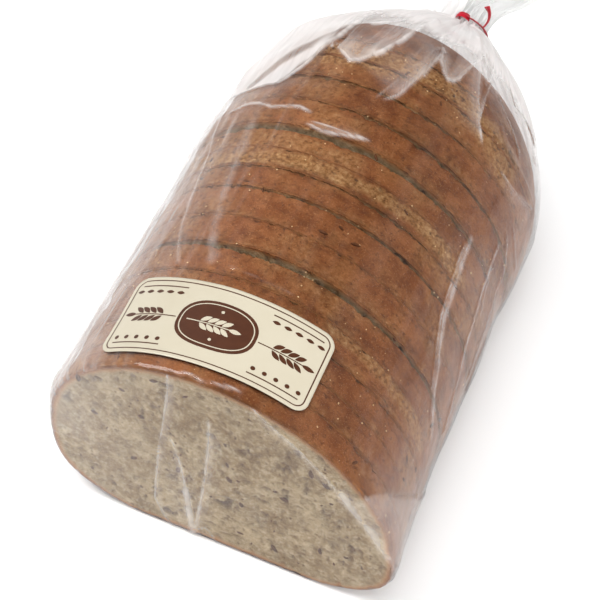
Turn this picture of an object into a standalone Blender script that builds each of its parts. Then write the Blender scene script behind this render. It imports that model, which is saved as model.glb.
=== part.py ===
"""Half a sliced rye loaf in a clear bread bag, gathered and closed with a twist tie.

Metres, +Z up. The pack lies flat on its base, and the origin is the middle of the loaf's footprint.
The cut face looks along -Y; the gathered neck and the flared tail of the bag run out along +Y.
"""

import math

import bmesh
import bpy
import numpy as np
from mathutils import Matrix, Vector

MM = 0.001

# Loaf: a domed, flat-based slice outline, swept along the row of slices
LOAF_WIDTH = 132 * MM
LOAF_HEIGHT = 88 * MM
LOAF_LENGTH = 195 * MM
WIDEST_HEIGHT = 31 * MM
CROWN_POWER = 2.02
BASE_POWER = 2.96
BASE_CUT = 1.5 * MM
CROWN_LEAN = -0.08
FRONT_Y = -LOAF_LENGTH / 2

# The row of slices drifts sideways as it runs back, and stands slightly turned
FRONT_X = 5 * MM
DRIFT = -0.055
TURN = -0.03

# Slices that the film lies on, front to back: thickness, sideways shift and rise, in millimetres
SLICES = (
    (12.5, 0.0, 0.0),
    (11.5, 0.4, -0.4),
    (11.5, -0.3, 0.0),
    (12.0, 0.5, -0.6),
    (13.0, -0.6, -1.4),
    (14.0, 0.5, 0.8),
    (15.5, 0.0, -0.4),
    (11.0, 0.8, 0.4),
    (10.5, 0.2, -0.2),
    (11.0, -0.5, -1.2),
    (15.5, -0.8, 1.2),
    (14.5, 0.3, 0.4),
    (14.5, 0.0, 0.0),
)
GROOVE_DEPTH = 1.7 * MM
GROOVE_HALF_WIDTH = 1.1 * MM
EDGE_ROUND = 1.2 * MM
GROOVE_FADE = 10 * MM
CROWN_TAPER = 0.95

# Gathered end, neck and tail of the bag
NECK_CENTRE = Vector((-1 * MM, 135 * MM, 54 * MM))
NECK_HALF_WIDTH = 11 * MM
NECK_HALF_HEIGHT = 7 * MM
GATHER_STEPS = 11
EARLY_DRAW = 0.5
LATE_POWER = 4.5
RISE_POWER = 2.2
PLEATS = (7, 12)
PLEAT_DEPTH = 2.6 * MM
TAIL_LENGTH = 66 * MM
TAIL_STEPS = 8
TAIL_HALF_WIDTH = 31 * MM
TAIL_HALF_THICKNESS = 1.6 * MM
TAIL_WAVES = 4
TAIL_WAVE_DEPTH = 4.5 * MM
TAIL_TURN = math.radians(6)
TAIL_DROOP = 5 * MM
RING_POINTS = 64

# Paper label stuck on the film, over the crown of the front slices
LABEL_WIDTH = 78 * MM
LABEL_LENGTH = 34.7 * MM
LABEL_CENTRE = (-6.3 * MM, 23 * MM)
LABEL_TURN = 0.018
LABEL_THICKNESS = 0.4 * MM
LABEL_CORNER = 5 * MM
LABEL_CELLS = (22, 8)
CLEARANCE = 0.3 * MM

# Twist tie: a flat plastic ribbon round the neck, twisted on top, with two loose ends
TIE_WIDTH = 4 * MM
TIE_THICKNESS = 0.9 * MM
RIBBON_WIDTH = 3.6 * MM

# Lines in millimetres from the stem's foot: the twisted stem, and the two loose ends that cross it
TIE_STEM = ((0, 0, 0), (0, 0, 1.4), (-0.3, -0.8, 2.6), (-0.6, -1.6, 3.8), (-0.8, -2, 5.4))
TIE_LOOSE_ENDS = (
    (-7.5, -3.4, 2.6),
    (-6.5, -3.2, 5.2),
    (-3, -2.8, 5.4),
    (1.5, -1, 4.4),
    (6.5, 2.5, 4.6),
    (8.5, 6, 7),
    (8.5, 9, 11),
)

FILM = ("film_over_bread", (0.40, 0.20, 0.10, 1.0), 0.3)
LABEL_PAPER = ("label_paper", (0.78, 0.72, 0.52, 1.0), 0.55)
TIE_PLASTIC = ("red_tie", (0.62, 0.02, 0.05, 1.0), 0.4)


def clear_scene():
    """Removes the start-up objects."""
    for obj in list(bpy.data.objects):
        bpy.data.objects.remove(obj, do_unlink=True)


def make_collection(name):
    """Returns a new collection linked to the scene."""
    collection = bpy.data.collections.new(name)
    bpy.context.scene.collection.children.link(collection)
    return collection


def make_material(name, colour, roughness):
    """Returns a plain Principled material."""
    material = bpy.data.materials.new(name)
    material.use_nodes = True
    shader = material.node_tree.nodes["Principled BSDF"]
    shader.inputs["Base Color"].default_value = colour
    shader.inputs["Roughness"].default_value = roughness
    shader.inputs["Metallic"].default_value = 0.0
    return material


def ring_angles():
    """Angles of a ring's points, from the right-hand side over the top to the left and back under."""
    return np.arange(RING_POINTS) * (2 * math.pi / RING_POINTS)


def slice_outline(angle, width, height):
    """x and z of a slice's outline: a superellipse dome over a squarer lower half, cut off flat at the base."""
    c = np.cos(angle)
    s = np.sin(angle)
    power = np.where(s >= 0, CROWN_POWER, BASE_POWER)
    x = np.sign(c) * np.abs(c) ** (2 / power) * width / 2
    crown = (height - WIDEST_HEIGHT) * np.abs(s) ** (2 / CROWN_POWER)
    foot = -(WIDEST_HEIGHT + BASE_CUT) * np.abs(s) ** (2 / BASE_POWER)
    z = WIDEST_HEIGHT + np.where(s >= 0, crown, foot)
    z = np.maximum(z, 0.0)
    return x + CROWN_LEAN * (z - WIDEST_HEIGHT), z


def row_centre(run):
    """Sideways place of the row of slices, run metres behind the cut face."""
    return FRONT_X + DRIFT * run


def row_scale(run):
    """The loaf keeps its size for most of its length and draws in a little towards the heel."""
    late = max(0.0, run / LOAF_LENGTH - 0.55) / 0.45
    return 1.0 - (1.0 - CROWN_TAPER) * late**2


def body_ring(run, inset=0.0, shift=0.0, rise=0.0):
    """One ring of the bag round the slices. The inset fades out towards the flat base."""
    angle = ring_angles()
    scale = row_scale(run)
    x, z = slice_outline(angle, LOAF_WIDTH * scale, LOAF_HEIGHT * scale + rise)
    fade = np.clip(z / GROOVE_FADE, 0.0, 1.0)
    reach = np.hypot(x, z - WIDEST_HEIGHT)
    shrink = 1.0 - inset * fade / reach
    x = x * shrink
    z = np.where(z > 0, WIDEST_HEIGHT + (z - WIDEST_HEIGHT) * shrink, 0.0)
    turn = TURN * min(1.0, run / (3 * SLICES[0][0] * MM))
    y = FRONT_Y + run + turn * x
    return np.column_stack([x + row_centre(run) + shift, y, z])


def body_rings():
    """Rings over the slices: two for each slice and one in each groove between them."""
    rings = [body_ring(0.0, EDGE_ROUND), body_ring(EDGE_ROUND * 0.7)]
    run = 0.0
    for index, (thickness, shift, rise) in enumerate(SLICES):
        start, run = run, run + thickness * MM
        if index:
            rings.append(body_ring(start, GROOVE_DEPTH))
            rings.append(body_ring(start + GROOVE_HALF_WIDTH, 0.0, shift * MM, rise * MM))
        rings.append(body_ring(run - GROOVE_HALF_WIDTH, 0.0, shift * MM, rise * MM))
    return rings, run


def neck_ring(y, swell=1.0):
    """The gathered neck: a small upright oval."""
    angle = ring_angles()
    x = NECK_CENTRE.x + NECK_HALF_WIDTH * swell * np.cos(angle)
    z = NECK_CENTRE.z + NECK_HALF_HEIGHT * swell * np.sin(angle)
    return np.column_stack([x, np.full(RING_POINTS, y), z])


def gather_rings(last_run):
    """The film draws in from the last slice to the neck, slowly round the heel and then fast, in pleats."""
    shoulder = body_ring(last_run)
    neck = neck_ring(NECK_CENTRE.y - TIE_WIDTH / 2 - CLEARANCE)
    angle = ring_angles()
    rings = []
    for step in range(1, GATHER_STEPS + 1):
        share = (step / GATHER_STEPS) ** 0.85
        drawn = EARLY_DRAW * share + (1 - EARLY_DRAW) * share**LATE_POWER
        blend = np.array([drawn, share, share**RISE_POWER])
        ring = shoulder + (neck - shoulder) * blend
        depth = PLEAT_DEPTH * math.sin(math.pi * share**1.6)
        few, many = PLEATS
        wave = np.sin(few * angle + 0.7 + 0.8 * share) + 0.5 * np.sin(many * angle + 2.0 - share)
        outward = ring - ring.mean(axis=0)
        outward[:, 1] = 0.0
        outward /= np.linalg.norm(outward, axis=1)[:, None]
        push = depth * (wave / 1.5 - 0.4)
        ring += outward * push[:, None] * np.clip(ring[:, 2:3] / GROOVE_FADE, 0, 1)
        rings.append(ring)
    return rings


def tail_ring(run):
    """The flared tail: the neck's oval opens into a flat fan of two layers that share deep waves."""
    share = run / TAIL_LENGTH
    angle = ring_angles()
    across = np.where(angle <= math.pi, angle, 2 * math.pi - angle) / math.pi
    side = np.where(angle <= math.pi, 1.0, -1.0)
    half = NECK_HALF_WIDTH + (TAIL_HALF_WIDTH - NECK_HALF_WIDTH) * share
    wave = TAIL_WAVE_DEPTH * share**0.7 * np.sin(2 * math.pi * TAIL_WAVES * across + 0.6)
    thick = TAIL_HALF_THICKNESS * np.sin(math.pi * across) ** 0.5
    fan_x = half * (1 - 2 * across)
    fan_z = wave + side * thick
    oval_x = NECK_HALF_WIDTH * np.cos(angle)
    oval_z = NECK_HALF_HEIGHT * np.sin(angle)
    blend = min(1.0, run / (0.35 * TAIL_LENGTH))
    blend = blend * blend * (3 - 2 * blend)
    x = oval_x + (fan_x - oval_x) * blend
    z = oval_z + (fan_z - oval_z) * blend
    angle_out = TAIL_TURN * blend
    y = NECK_CENTRE.y + TIE_WIDTH / 2 + CLEARANCE + run * math.cos(angle_out) - x * math.sin(angle_out)
    x = NECK_CENTRE.x + run * math.sin(angle_out) + x * math.cos(angle_out)
    return np.column_stack([x, y, NECK_CENTRE.z - TAIL_DROOP * share**2 + z])


def tail_rings():
    """Rings from the tie to the open end of the tail."""
    return [tail_ring(TAIL_LENGTH * (step / TAIL_STEPS)) for step in range(TAIL_STEPS + 1)]


def cap_faces(first, forward):
    """Faces that close a ring, in strips from its top side across to its lower side."""
    half = RING_POINTS // 2
    faces = [(first, first + 1, first + RING_POINTS - 1)]
    for k in range(1, half - 1):
        upper, lower = first + k, first + RING_POINTS - k
        faces.append((upper, upper + 1, lower - 1, lower))
    faces.append((first + half - 1, first + half, first + half + 1))
    return faces if forward else [face[::-1] for face in faces]


def loft(name, rings):
    """A closed mesh through rings of the same number of points."""
    points = np.vstack(rings)
    faces = []
    for row in range(len(rings) - 1):
        here, there = row * RING_POINTS, (row + 1) * RING_POINTS
        for k in range(RING_POINTS):
            after = (k + 1) % RING_POINTS
            faces.append((here + k, here + after, there + after, there + k))
    faces += cap_faces(0, forward=False)
    faces += cap_faces((len(rings) - 1) * RING_POINTS, forward=True)
    mesh = bpy.data.meshes.new(name)
    mesh.from_pydata(points.tolist(), [], faces)
    mesh.update()
    return mesh


def finish_mesh(mesh, crease_degrees=35, triangles=False):
    """Closes doubles, points the faces out and shades the round parts smooth."""
    bm = bmesh.new()
    bm.from_mesh(mesh)
    bmesh.ops.remove_doubles(bm, verts=bm.verts, dist=1e-6)
    bmesh.ops.recalc_face_normals(bm, faces=bm.faces)
    if triangles:
        bmesh.ops.triangulate(bm, faces=bm.faces)
    bm.to_mesh(mesh)
    bm.free()
    mesh.shade_smooth()
    mesh.set_sharp_from_angle(angle=math.radians(crease_degrees))


def add_object(name, mesh, collection, material):
    """Links a mesh as a named object with its material."""
    obj = bpy.data.objects.new(name, mesh)
    collection.objects.link(obj)
    mesh.materials.clear()
    mesh.materials.append(material)
    return obj


def make_bag(collection):
    """The sealed bag with its slices as one solid: loaf, gathered end, neck and tail."""
    body, last_run = body_rings()
    neck = [neck_ring(NECK_CENTRE.y)]
    mesh = loft("bag", body + gather_rings(last_run) + neck + tail_rings())
    finish_mesh(mesh)
    return add_object("bag", mesh, collection, make_material(*FILM))


def rounded_corner(u, v):
    """Moves a point of the label's square grid so that its corners become quarter circles."""
    du = np.maximum(np.abs(u) - (LABEL_WIDTH / 2 - LABEL_CORNER), 0.0)
    dv = np.maximum(np.abs(v) - (LABEL_LENGTH / 2 - LABEL_CORNER), 0.0)
    length = np.hypot(du, dv)
    keep = np.divide(np.maximum(du, dv), length, out=np.ones_like(length), where=length > 0)
    return u - np.sign(u) * du * (1 - keep), v - np.sign(v) * dv * (1 - keep)


def crown_point(arc, run, lift):
    """The point of the film arc metres along the crown from its top, run metres behind the face, lifted off it."""
    angle = np.linspace(0.0, math.pi, 721)
    x, z = slice_outline(angle, LOAF_WIDTH + 2 * lift, LOAF_HEIGHT + lift)
    steps = np.hypot(np.diff(x), np.diff(z))
    along = np.concatenate([[0.0], np.cumsum(steps)])
    along = np.interp(math.pi / 2, angle, along) - along
    order = np.argsort(along)
    x_at = np.interp(arc, along[order], x[order])
    z_at = np.interp(arc, along[order], z[order])
    y_at = FRONT_Y + run + TURN * x_at
    return np.column_stack([x_at + row_centre(run), y_at, z_at])


def make_label(collection):
    """A thin paper label with round corners, bent over the crown of the front slices."""
    cells_u, cells_v = LABEL_CELLS
    bm = bmesh.new()
    bmesh.ops.create_grid(bm, x_segments=cells_u, y_segments=cells_v, size=0.5)
    flat = np.array([vert.co[:] for vert in bm.verts])
    u, v = rounded_corner(flat[:, 0] * LABEL_WIDTH, flat[:, 1] * LABEL_LENGTH)
    arc = LABEL_CENTRE[0] + u * math.cos(LABEL_TURN) - v * math.sin(LABEL_TURN)
    run = LABEL_CENTRE[1] + u * math.sin(LABEL_TURN) + v * math.cos(LABEL_TURN)
    placed = crown_point(arc, run, CLEARANCE * 2)
    for vert, point in zip(bm.verts, placed):
        vert.co = point
    mesh = bpy.data.meshes.new("label")
    bm.to_mesh(mesh)
    bm.free()
    label = add_object("label", mesh, collection, make_material(*LABEL_PAPER))
    wall = label.modifiers.new("paper", "SOLIDIFY")
    wall.thickness = LABEL_THICKNESS
    wall.offset = 1.0
    return label


def smooth_line(points, rounds=2):
    """Rounds a broken line by cutting its corners, and keeps its two ends."""
    line = np.array(points, dtype=float)
    for _ in range(rounds):
        near = 0.75 * line[:-1] + 0.25 * line[1:]
        far = 0.25 * line[:-1] + 0.75 * line[1:]
        cut = np.stack([near, far], axis=1).reshape(-1, 3)
        line = np.vstack([line[:1], cut[1:-1], line[-1:]])
    return line


def ribbon(name, points, twist, collection, start_side=(0.0, 1.0, 0.0)):
    """A flat ribbon along a line of points in metres, turned evenly by the twist on its way."""
    line = smooth_line(points)
    tangents = np.gradient(line, axis=0)
    verts = []
    side = Vector(start_side)
    for index, (point, tangent) in enumerate(zip(line, tangents)):
        forward = Vector(tangent).normalized()
        side = (side - forward * side.dot(forward)).normalized()
        turned = Matrix.Rotation(twist * index / (len(line) - 1), 3, forward) @ side
        flat = forward.cross(turned)
        wide = turned * (RIBBON_WIDTH / 2)
        thin = flat * (TIE_THICKNESS / 2)
        centre = Vector(point)
        verts += [centre + wide + thin, centre - wide + thin, centre - wide - thin, centre + wide - thin]
    faces = [(0, 3, 2, 1)]
    for row in range(len(line) - 1):
        here = 4 * row
        for k in range(4):
            after = (k + 1) % 4
            faces.append((here + k, here + after, here + 4 + after, here + 4 + k))
    last = 4 * (len(line) - 1)
    faces.append((last, last + 1, last + 2, last + 3))
    mesh = bpy.data.meshes.new(name)
    mesh.from_pydata([vert[:] for vert in verts], [], faces)
    finish_mesh(mesh, triangles=True)
    obj = bpy.data.objects.new(name, mesh)
    collection.objects.link(obj)
    return obj


def tie_band(collection):
    """The ribbon's turn round the neck: a flat oval hoop."""
    count = 40
    angles = np.arange(count) * (2 * math.pi / count)
    rows = []
    for reach, shift in ((0, -1), (TIE_THICKNESS, -1), (TIE_THICKNESS, 1), (0, 1)):
        x = NECK_CENTRE.x + (NECK_HALF_WIDTH + CLEARANCE + reach) * np.cos(angles)
        z = NECK_CENTRE.z + (NECK_HALF_HEIGHT + CLEARANCE + reach) * np.sin(angles)
        rows.append(np.column_stack([x, np.full(count, NECK_CENTRE.y + shift * TIE_WIDTH / 2), z]))
    faces = []
    for row in range(4):
        here, there = row * count, (row + 1) % 4 * count
        for k in range(count):
            after = (k + 1) % count
            faces.append((here + k, here + after, there + after, there + k))
    mesh = bpy.data.meshes.new("twist_tie")
    mesh.from_pydata(np.vstack(rows).tolist(), [], faces)
    finish_mesh(mesh, triangles=True)
    band = bpy.data.objects.new("twist_tie", mesh)
    collection.objects.link(band)
    return band


def tie_ends(collection):
    """The twisted stem on top of the neck, and the two loose ends: one curls over, one sticks up."""
    foot = NECK_CENTRE + Vector((2 * MM, 0, NECK_HALF_HEIGHT + CLEARANCE + TIE_THICKNESS / 2))
    made = []
    for name, path, twist in (("stem", TIE_STEM, 150), ("loose_ends", TIE_LOOSE_ENDS, 60)):
        points = [foot + Vector(offset) * MM for offset in path]
        made.append(ribbon(name, points, math.radians(twist), collection))
    return made


def make_twist_tie(collection):
    """One red ribbon: its hoop, twisted stem and two ends joined into one solid."""
    scraps = make_collection("tie_pieces")
    tie = tie_band(collection)
    for index, piece in enumerate(tie_ends(scraps)):
        join = tie.modifiers.new(f"join_{index}", "BOOLEAN")
        join.operation = "UNION"
        join.object = piece
        join.solver = "EXACT"
    bpy.context.view_layer.update()
    graph = bpy.context.evaluated_depsgraph_get()
    mesh = bpy.data.meshes.new_from_object(tie.evaluated_get(graph))
    tie.modifiers.clear()
    tie.data = mesh
    for piece in list(scraps.objects):
        bpy.data.objects.remove(piece, do_unlink=True)
    bpy.data.collections.remove(scraps)
    finish_mesh(mesh)
    mesh.materials.clear()
    mesh.materials.append(make_material(*TIE_PLASTIC))
    return tie


def main():
    clear_scene()
    loaf = make_collection("loaf_in_bread_bag")
    make_bag(loaf)
    make_label(loaf)
    make_twist_tie(loaf)


main()
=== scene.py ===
"""Half a sliced rye loaf in a clear bread bag, with its label, twist tie and studio.

Metres, +Z up. The pack lies on its flat base and the cut face looks along -Y.
"Run" is the distance behind the cut face, in millimetres. An outline's angle starts at the
right-hand side, passes the crown at 90 degrees and the left-hand side at 180 degrees.
"""

import math

import bpy
import numpy as np
from bpy.props import FloatProperty, IntProperty, PointerProperty
from bpy.types import Operator, Panel, PropertyGroup
from mathutils import Matrix, Vector


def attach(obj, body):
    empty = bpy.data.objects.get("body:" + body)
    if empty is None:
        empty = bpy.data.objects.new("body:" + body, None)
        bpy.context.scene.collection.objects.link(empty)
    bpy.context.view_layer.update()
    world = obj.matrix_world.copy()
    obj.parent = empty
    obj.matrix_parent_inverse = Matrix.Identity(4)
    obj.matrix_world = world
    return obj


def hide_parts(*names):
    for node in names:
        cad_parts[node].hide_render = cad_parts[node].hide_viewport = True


bl_info = {
    "name": "Sliced Loaf in a Clear Bag",
    "version": (1, 0, 0),
    "blender": (4, 2, 0),
    "location": "View3D > Sidebar > Bread Bag",
    "description": "Builds half a sliced rye loaf in a clear bag with its label, twist tie and studio",
    "category": "Add Mesh",
}

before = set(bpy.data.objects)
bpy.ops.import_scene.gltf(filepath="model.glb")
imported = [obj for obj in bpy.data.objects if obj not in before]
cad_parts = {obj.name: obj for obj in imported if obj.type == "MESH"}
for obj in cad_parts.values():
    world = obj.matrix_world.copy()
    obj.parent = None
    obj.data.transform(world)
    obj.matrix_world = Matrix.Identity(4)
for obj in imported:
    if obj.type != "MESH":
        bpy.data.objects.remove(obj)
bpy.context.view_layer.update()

MM = 0.001

# The loaf's outline and the row of slices, in millimetres. The taper counts by LENGTH, and the
# heel's tip lies 17 mm past it.
WIDTH, HEIGHT, LENGTH = 132.0, 88.0, 195.0
WIDEST = 31.0
CROWN_POWER, BASE_POWER, BASE_CUT = 2.02, 2.96, 1.5
LEAN = -0.08
FRONT_X, FRONT_Y = 5.0, -97.5
DRIFT, TURN, TURN_RUN = -0.055, -0.03, 37.5
TAPER = 0.05
HEEL_START, HEEL_LENGTH, HEEL_HEIGHT = 150.0, 62.0, 28.0
# How far the right flank is drawn in, as (run, millimetres)
FLANK = ((0, 0.0), (8, 1.6), (25, 2.6), (60, 3.3), (95, 3.7), (130, 3.5), (160, 1.9), (190, 1.0))

# Each slice: thickness, sideways shift, rise, gap in front of it, all in millimetres
SLICES = (
    (12.5, 0.0, 0.0, 0.0),
    (11.5, 0.4, -0.4, 0.4),
    (11.5, -0.3, 0.0, 0.6),
    (12.0, 0.5, -0.6, 0.5),
    (13.0, -0.6, -1.4, 0.9),
    (14.0, 0.5, 0.8, 1.7),
    (15.5, 0.0, -0.4, 1.2),
    (11.0, 0.8, 0.4, 1.2),
    (10.5, 0.2, -0.2, 1.8),
    (11.0, -0.5, -1.2, 0.6),
    (15.5, -0.8, 1.2, 2.0),
    (14.5, 0.3, 0.4, 1.9),
    (14.5, 0.0, 0.0, 1.9),
    (13.0, 0.3, -0.4, 1.6),
    (32.0, 0.0, -0.2, 1.2),
)

# Rough golden slashes in the crust: lines of (run, angle in degrees), half width and strength
SLASHES = (
    (((45.5, 70), (45.5, 54), (44.5, 45), (44, 33), (42, 20), (40, 8)), 3.6, 0.75),
    (((118, 165), (116, 157), (105, 138), (104, 124), (106, 104), (106, 85), (107, 72), (107.5, 58),
      (107, 47), (105, 33), (103, 22)), 4.4, 1.0),
    (((118, 160), (112, 140), (112, 120), (113, 104), (113, 88), (113, 76)), 9.0, 0.62),
    (((167.5, 125), (168.5, 102), (169, 92), (172, 77), (171, 61), (166.5, 47), (162, 32),
      (159.5, 24)), 8.5, 0.9),
)

# The neck's middle and the half width and half height of its oval
NECK = (-1.0, 135.0, 54.0)
NECK_HALF = (11.0, 7.0)
# Depth of the neck's fine pleats, the tie's width, and how far from the neck's middle the gather
# and the tail begin
PLEAT = 2.8
TIE_WIDTH = 4.0
NECK_STEP = TIE_WIDTH / 2 + 0.3
# The tail: its length, half width and half thickness; its waves, their depth and its droop
TAIL_LENGTH, TAIL_HALF, TAIL_THICK = 66.0, 31.0, 1.6
TAIL_WAVES, TAIL_DEPTH, TAIL_DROOP = 4, 4.5, 5.0
TAIL_TURN = math.radians(6)
# The film round the slices ends at this run; the gather's run goes on for its span
LAST_RUN, GATHER_SPAN = 167.0, 65.0
# Millimetres of arc for a degree on the crown, and the share by which the gather shrinks them
ARC, ARC_SHRINK = 1.07, 0.6

# A slice's rounded rim, the inset where its face begins, how far the crust lies under the plain
# outline, its lowest height, the height of its rings' middle, and the gap at the heel's tip
ROUNDING, FACE_INSET, CRUST_SINK, LOWEST = 0.9, 3.6, 0.45, 0.6
SLICE_MIDDLE = HEEL_HEIGHT + 6.0
TIP_GAP = 0.05
# Cells from the middle of a hidden face to its rim; columns and such cells of the front slice
FACE_CELLS, FRONT_CELLS = 14, (560, 112)
# The film's lowest height and its most milk
FILM_LOWEST, MOST_HAZE = 0.05, 0.92


# Arithmetic


def lattice_noise(points, size, seed):
    """Smooth noise from -1 to 1.

    Random values sit on a cubic lattice with cells of the given size. A point takes the blend of
    the eight values round it, weighted by the smooth step of its place in the cell.
    """
    place = np.asarray(points, dtype=float) / size
    cell = np.floor(place).astype(np.int64)
    part = place - cell
    part = part * part * (3 - 2 * part)
    rng = np.random.default_rng(seed)
    table = rng.uniform(-1, 1, 4096)
    mix = rng.permutation(4096)
    total = 0.0
    for i, j, k in np.ndindex(2, 2, 2):
        code = mix[(cell[..., 0] + i) & 4095]
        code = mix[(code + cell[..., 1] + j) & 4095]
        value = table[mix[(code + cell[..., 2] + k) & 4095]]
        weight = (part[..., 0] if i else 1 - part[..., 0]) * (part[..., 1] if j else 1 - part[..., 1])
        total = total + value * weight * (part[..., 2] if k else 1 - part[..., 2])
    return total


def rough_noise(points, size, seed, octaves=3, keep=0.5):
    """Lattice noises added up, each at half the size and a kept share of the strength of the last."""
    total, strength, whole = 0.0, 1.0, 0.0
    for step in range(octaves):
        total = total + strength * lattice_noise(points, size / 2**step, seed + 17 * step)
        whole += strength
        strength *= keep
    return total / whole


def stacked(*parts):
    """Arrays of one shape, or that stretch to one, side by side as the last axis."""
    return np.stack(np.broadcast_arrays(*parts), -1)


def smooth_step(value, low, high):
    """0 below low, 1 above high, and 3t^2 - 2t^3 of the share t between them."""
    t = np.clip((value - low) / (high - low), 0.0, 1.0)
    return t * t * (3 - 2 * t)


def line_distance(u, v, line):
    """Distance of each (u, v) from a broken line, the share of its length there, and the side.

    The side is 1 to the left of the line's direction and -1 to its right, u being across and v up.
    """
    line = np.asarray(line, dtype=float)
    steps = np.hypot(*np.diff(line, axis=0).T)
    done = np.concatenate([[0.0], np.cumsum(steps)])
    best = np.full(np.broadcast(u, v).shape, 1e9)
    where, hand = np.zeros_like(best), np.ones_like(best)
    for (a, b), length, before in zip(zip(line[:-1], line[1:]), steps, done):
        t = np.clip(((u - a[0]) * (b[0] - a[0]) + (v - a[1]) * (b[1] - a[1])) / length**2, 0, 1)
        gap = np.hypot(u - a[0] - t * (b[0] - a[0]), v - a[1] - t * (b[1] - a[1]))
        turn = (b[0] - a[0]) * (v - a[1]) - (b[1] - a[1]) * (u - a[0])
        nearer = gap < best
        hand = np.where(nearer, np.where(turn >= 0, 1.0, -1.0), hand)
        best = np.where(nearer, gap, best)
        where = np.where(nearer, (before + t * length) / done[-1], where)
    return best, where, hand


# Meshes


def build_mesh(name, points, polygons, attributes=None):
    """A mesh from an (n, 3) array of points in millimetres and arrays of faces of one size each."""
    mesh = bpy.data.meshes.new(name)
    loops = np.concatenate([p.ravel() for p in polygons]).astype(np.int32)
    sizes = np.concatenate([np.full(len(p), p.shape[1]) for p in polygons])
    starts = np.concatenate([[0], np.cumsum(sizes)[:-1]]).astype(np.int32)
    mesh.vertices.add(len(points))
    mesh.vertices.foreach_set("co", (np.asarray(points) * MM).astype(np.float32).ravel())
    mesh.loops.add(len(loops))
    mesh.loops.foreach_set("vertex_index", loops)
    mesh.polygons.add(len(starts))
    mesh.polygons.foreach_set("loop_start", starts)
    mesh.update(calc_edges=True)
    for key, values in (attributes or {}).items():
        layer = mesh.attributes.new(key, "FLOAT", "POINT")
        layer.data.foreach_set("value", np.asarray(values, dtype=np.float32).ravel())
    mesh.validate()
    mesh.shade_smooth()
    return mesh


def tube_faces(rows, columns, first=0):
    """Quads of a grid whose last column joins its first, facing away from the axis."""
    row, column = np.meshgrid(np.arange(rows - 1), np.arange(columns), indexing="ij")
    here = first + row * columns + column
    after = first + row * columns + (column + 1) % columns
    return np.stack([here, here + columns, after + columns, after], -1).reshape(-1, 4)


def sheet_faces(rows, columns, first=0):
    """Quads of an open grid of rows and columns."""
    row, column = np.meshgrid(np.arange(rows - 1), np.arange(columns - 1), indexing="ij")
    here = first + row * columns + column
    return np.stack([here, here + 1, here + columns + 1, here + columns], -1).reshape(-1, 4)


def fan_faces(pole, first, columns, forward):
    """Triangles from a pole to a ring of points."""
    k = np.arange(columns)
    here, after = first + k, first + (k + 1) % columns
    pair = (after, here) if forward else (here, after)
    return np.stack([np.full(columns, pole), *pair], -1)


def closed_tube(name, rings, attributes, ends=(True, True)):
    """A tube of rings (rows, columns, 3), closed with a pole at the mean of its first and last ring."""
    rows, columns = rings.shape[:2]
    points = [rings.reshape(-1, 3)]
    values = {key: [value.reshape(-1)] for key, value in attributes.items()}
    polygons = [tube_faces(rows, columns)]
    count = rows * columns
    for end, row, forward in ((ends[0], 0, False), (ends[1], rows - 1, True)):
        if end:
            points.append(rings[row].mean(axis=0)[None])
            for key, value in attributes.items():
                values[key].append(value[row].mean()[None])
            polygons.append(fan_faces(count, row * columns, columns, forward))
            count += 1
    joined = {key: np.concatenate(value) for key, value in values.items()}
    return build_mesh(name, np.concatenate(points), polygons, joined)


def add_piece(mesh, material, node):
    """Links a mesh, under its own name, as a piece under the root that stands in for a node, which it hides.
    """
    obj = bpy.data.objects.new(mesh.name, mesh)
    bpy.context.scene.collection.objects.link(obj)
    mesh.materials.append(material)
    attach(obj, "root")
    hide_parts(node)


# Loaf shape


def slice_outline(angle, width, height):
    """x and z of a slice: a superellipse crown over a squarer lower half, cut flat at the base."""
    c, s = np.cos(angle), np.sin(angle)
    power = np.where(s >= 0, CROWN_POWER, BASE_POWER)
    x = np.sign(c) * np.abs(c) ** (2 / power) * width / 2
    crown = (height - WIDEST) * np.abs(s) ** (2 / CROWN_POWER)
    foot = -(WIDEST + BASE_CUT) * np.abs(s) ** (2 / BASE_POWER)
    z = np.maximum(WIDEST + np.where(s >= 0, crown, foot), 0.0)
    return x + LEAN * (z - WIDEST), z


def loaf_section(run, angle, rise=0.0):
    """x and z of the crust at a run: the outline tapers slowly, and the heel rounds off to nothing.

    The heel's share s is (1 - t^2.6)^(1/2.6), t from 0 to 1 along the heel. The width follows
    s^0.8, the part above the heel's tip s^0.45 and the part below it s^0.3. The right half is
    drawn in by the flank's share of the half width.
    """
    late = np.maximum(0.0, run / LENGTH - 0.55) / 0.45
    scale = 1.0 - TAPER * np.minimum(late, 1.1) ** 2
    x, z = slice_outline(angle, WIDTH * scale, HEIGHT * scale + rise)
    x = x - np.maximum(x, 0.0) * np.interp(run, *np.array(FLANK).T) / (WIDTH / 2)
    t = np.clip((run - HEEL_START) / HEEL_LENGTH, 0.0, 1.0)
    share = np.maximum(1 - t**2.6, 0.0) ** (1 / 2.6)
    pull = np.where(z > HEEL_HEIGHT, share**0.45, share**0.3)
    return x * share**0.8, HEEL_HEIGHT + (z - HEEL_HEIGHT) * pull


def place(run, x, z):
    """Model point of a section's x and z: the row drifts sideways and each slice stands a little turned."""
    turn = TURN * np.minimum(1.0, run / TURN_RUN)
    return stacked(FRONT_X + DRIFT * run + x, FRONT_Y + run + turn * x, z)


def slash_mask(run, degrees):
    """How golden and rough the crust is: 1 along each slash, down to 0 past its ragged half width."""
    run, arc = np.broadcast_arrays(run, degrees * ARC)
    mask = np.zeros(run.shape)
    ragged = rough_noise(stacked(run, arc, 0.0), 9.0, 3, 4, 0.6)
    for line, half, strength in SLASHES:
        gap, share, _ = line_distance(run, arc, np.array(line) * (1.0, ARC))
        edge = half * (1 + 0.7 * ragged)
        fade = smooth_step(share, 0.0, 0.08) * smooth_step(1 - share, 0.0, 0.08)
        mask = np.maximum(mask, strength * fade * (1 - smooth_step(gap, 0.45 * edge, 1.25 * edge)))
    return mask


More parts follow.
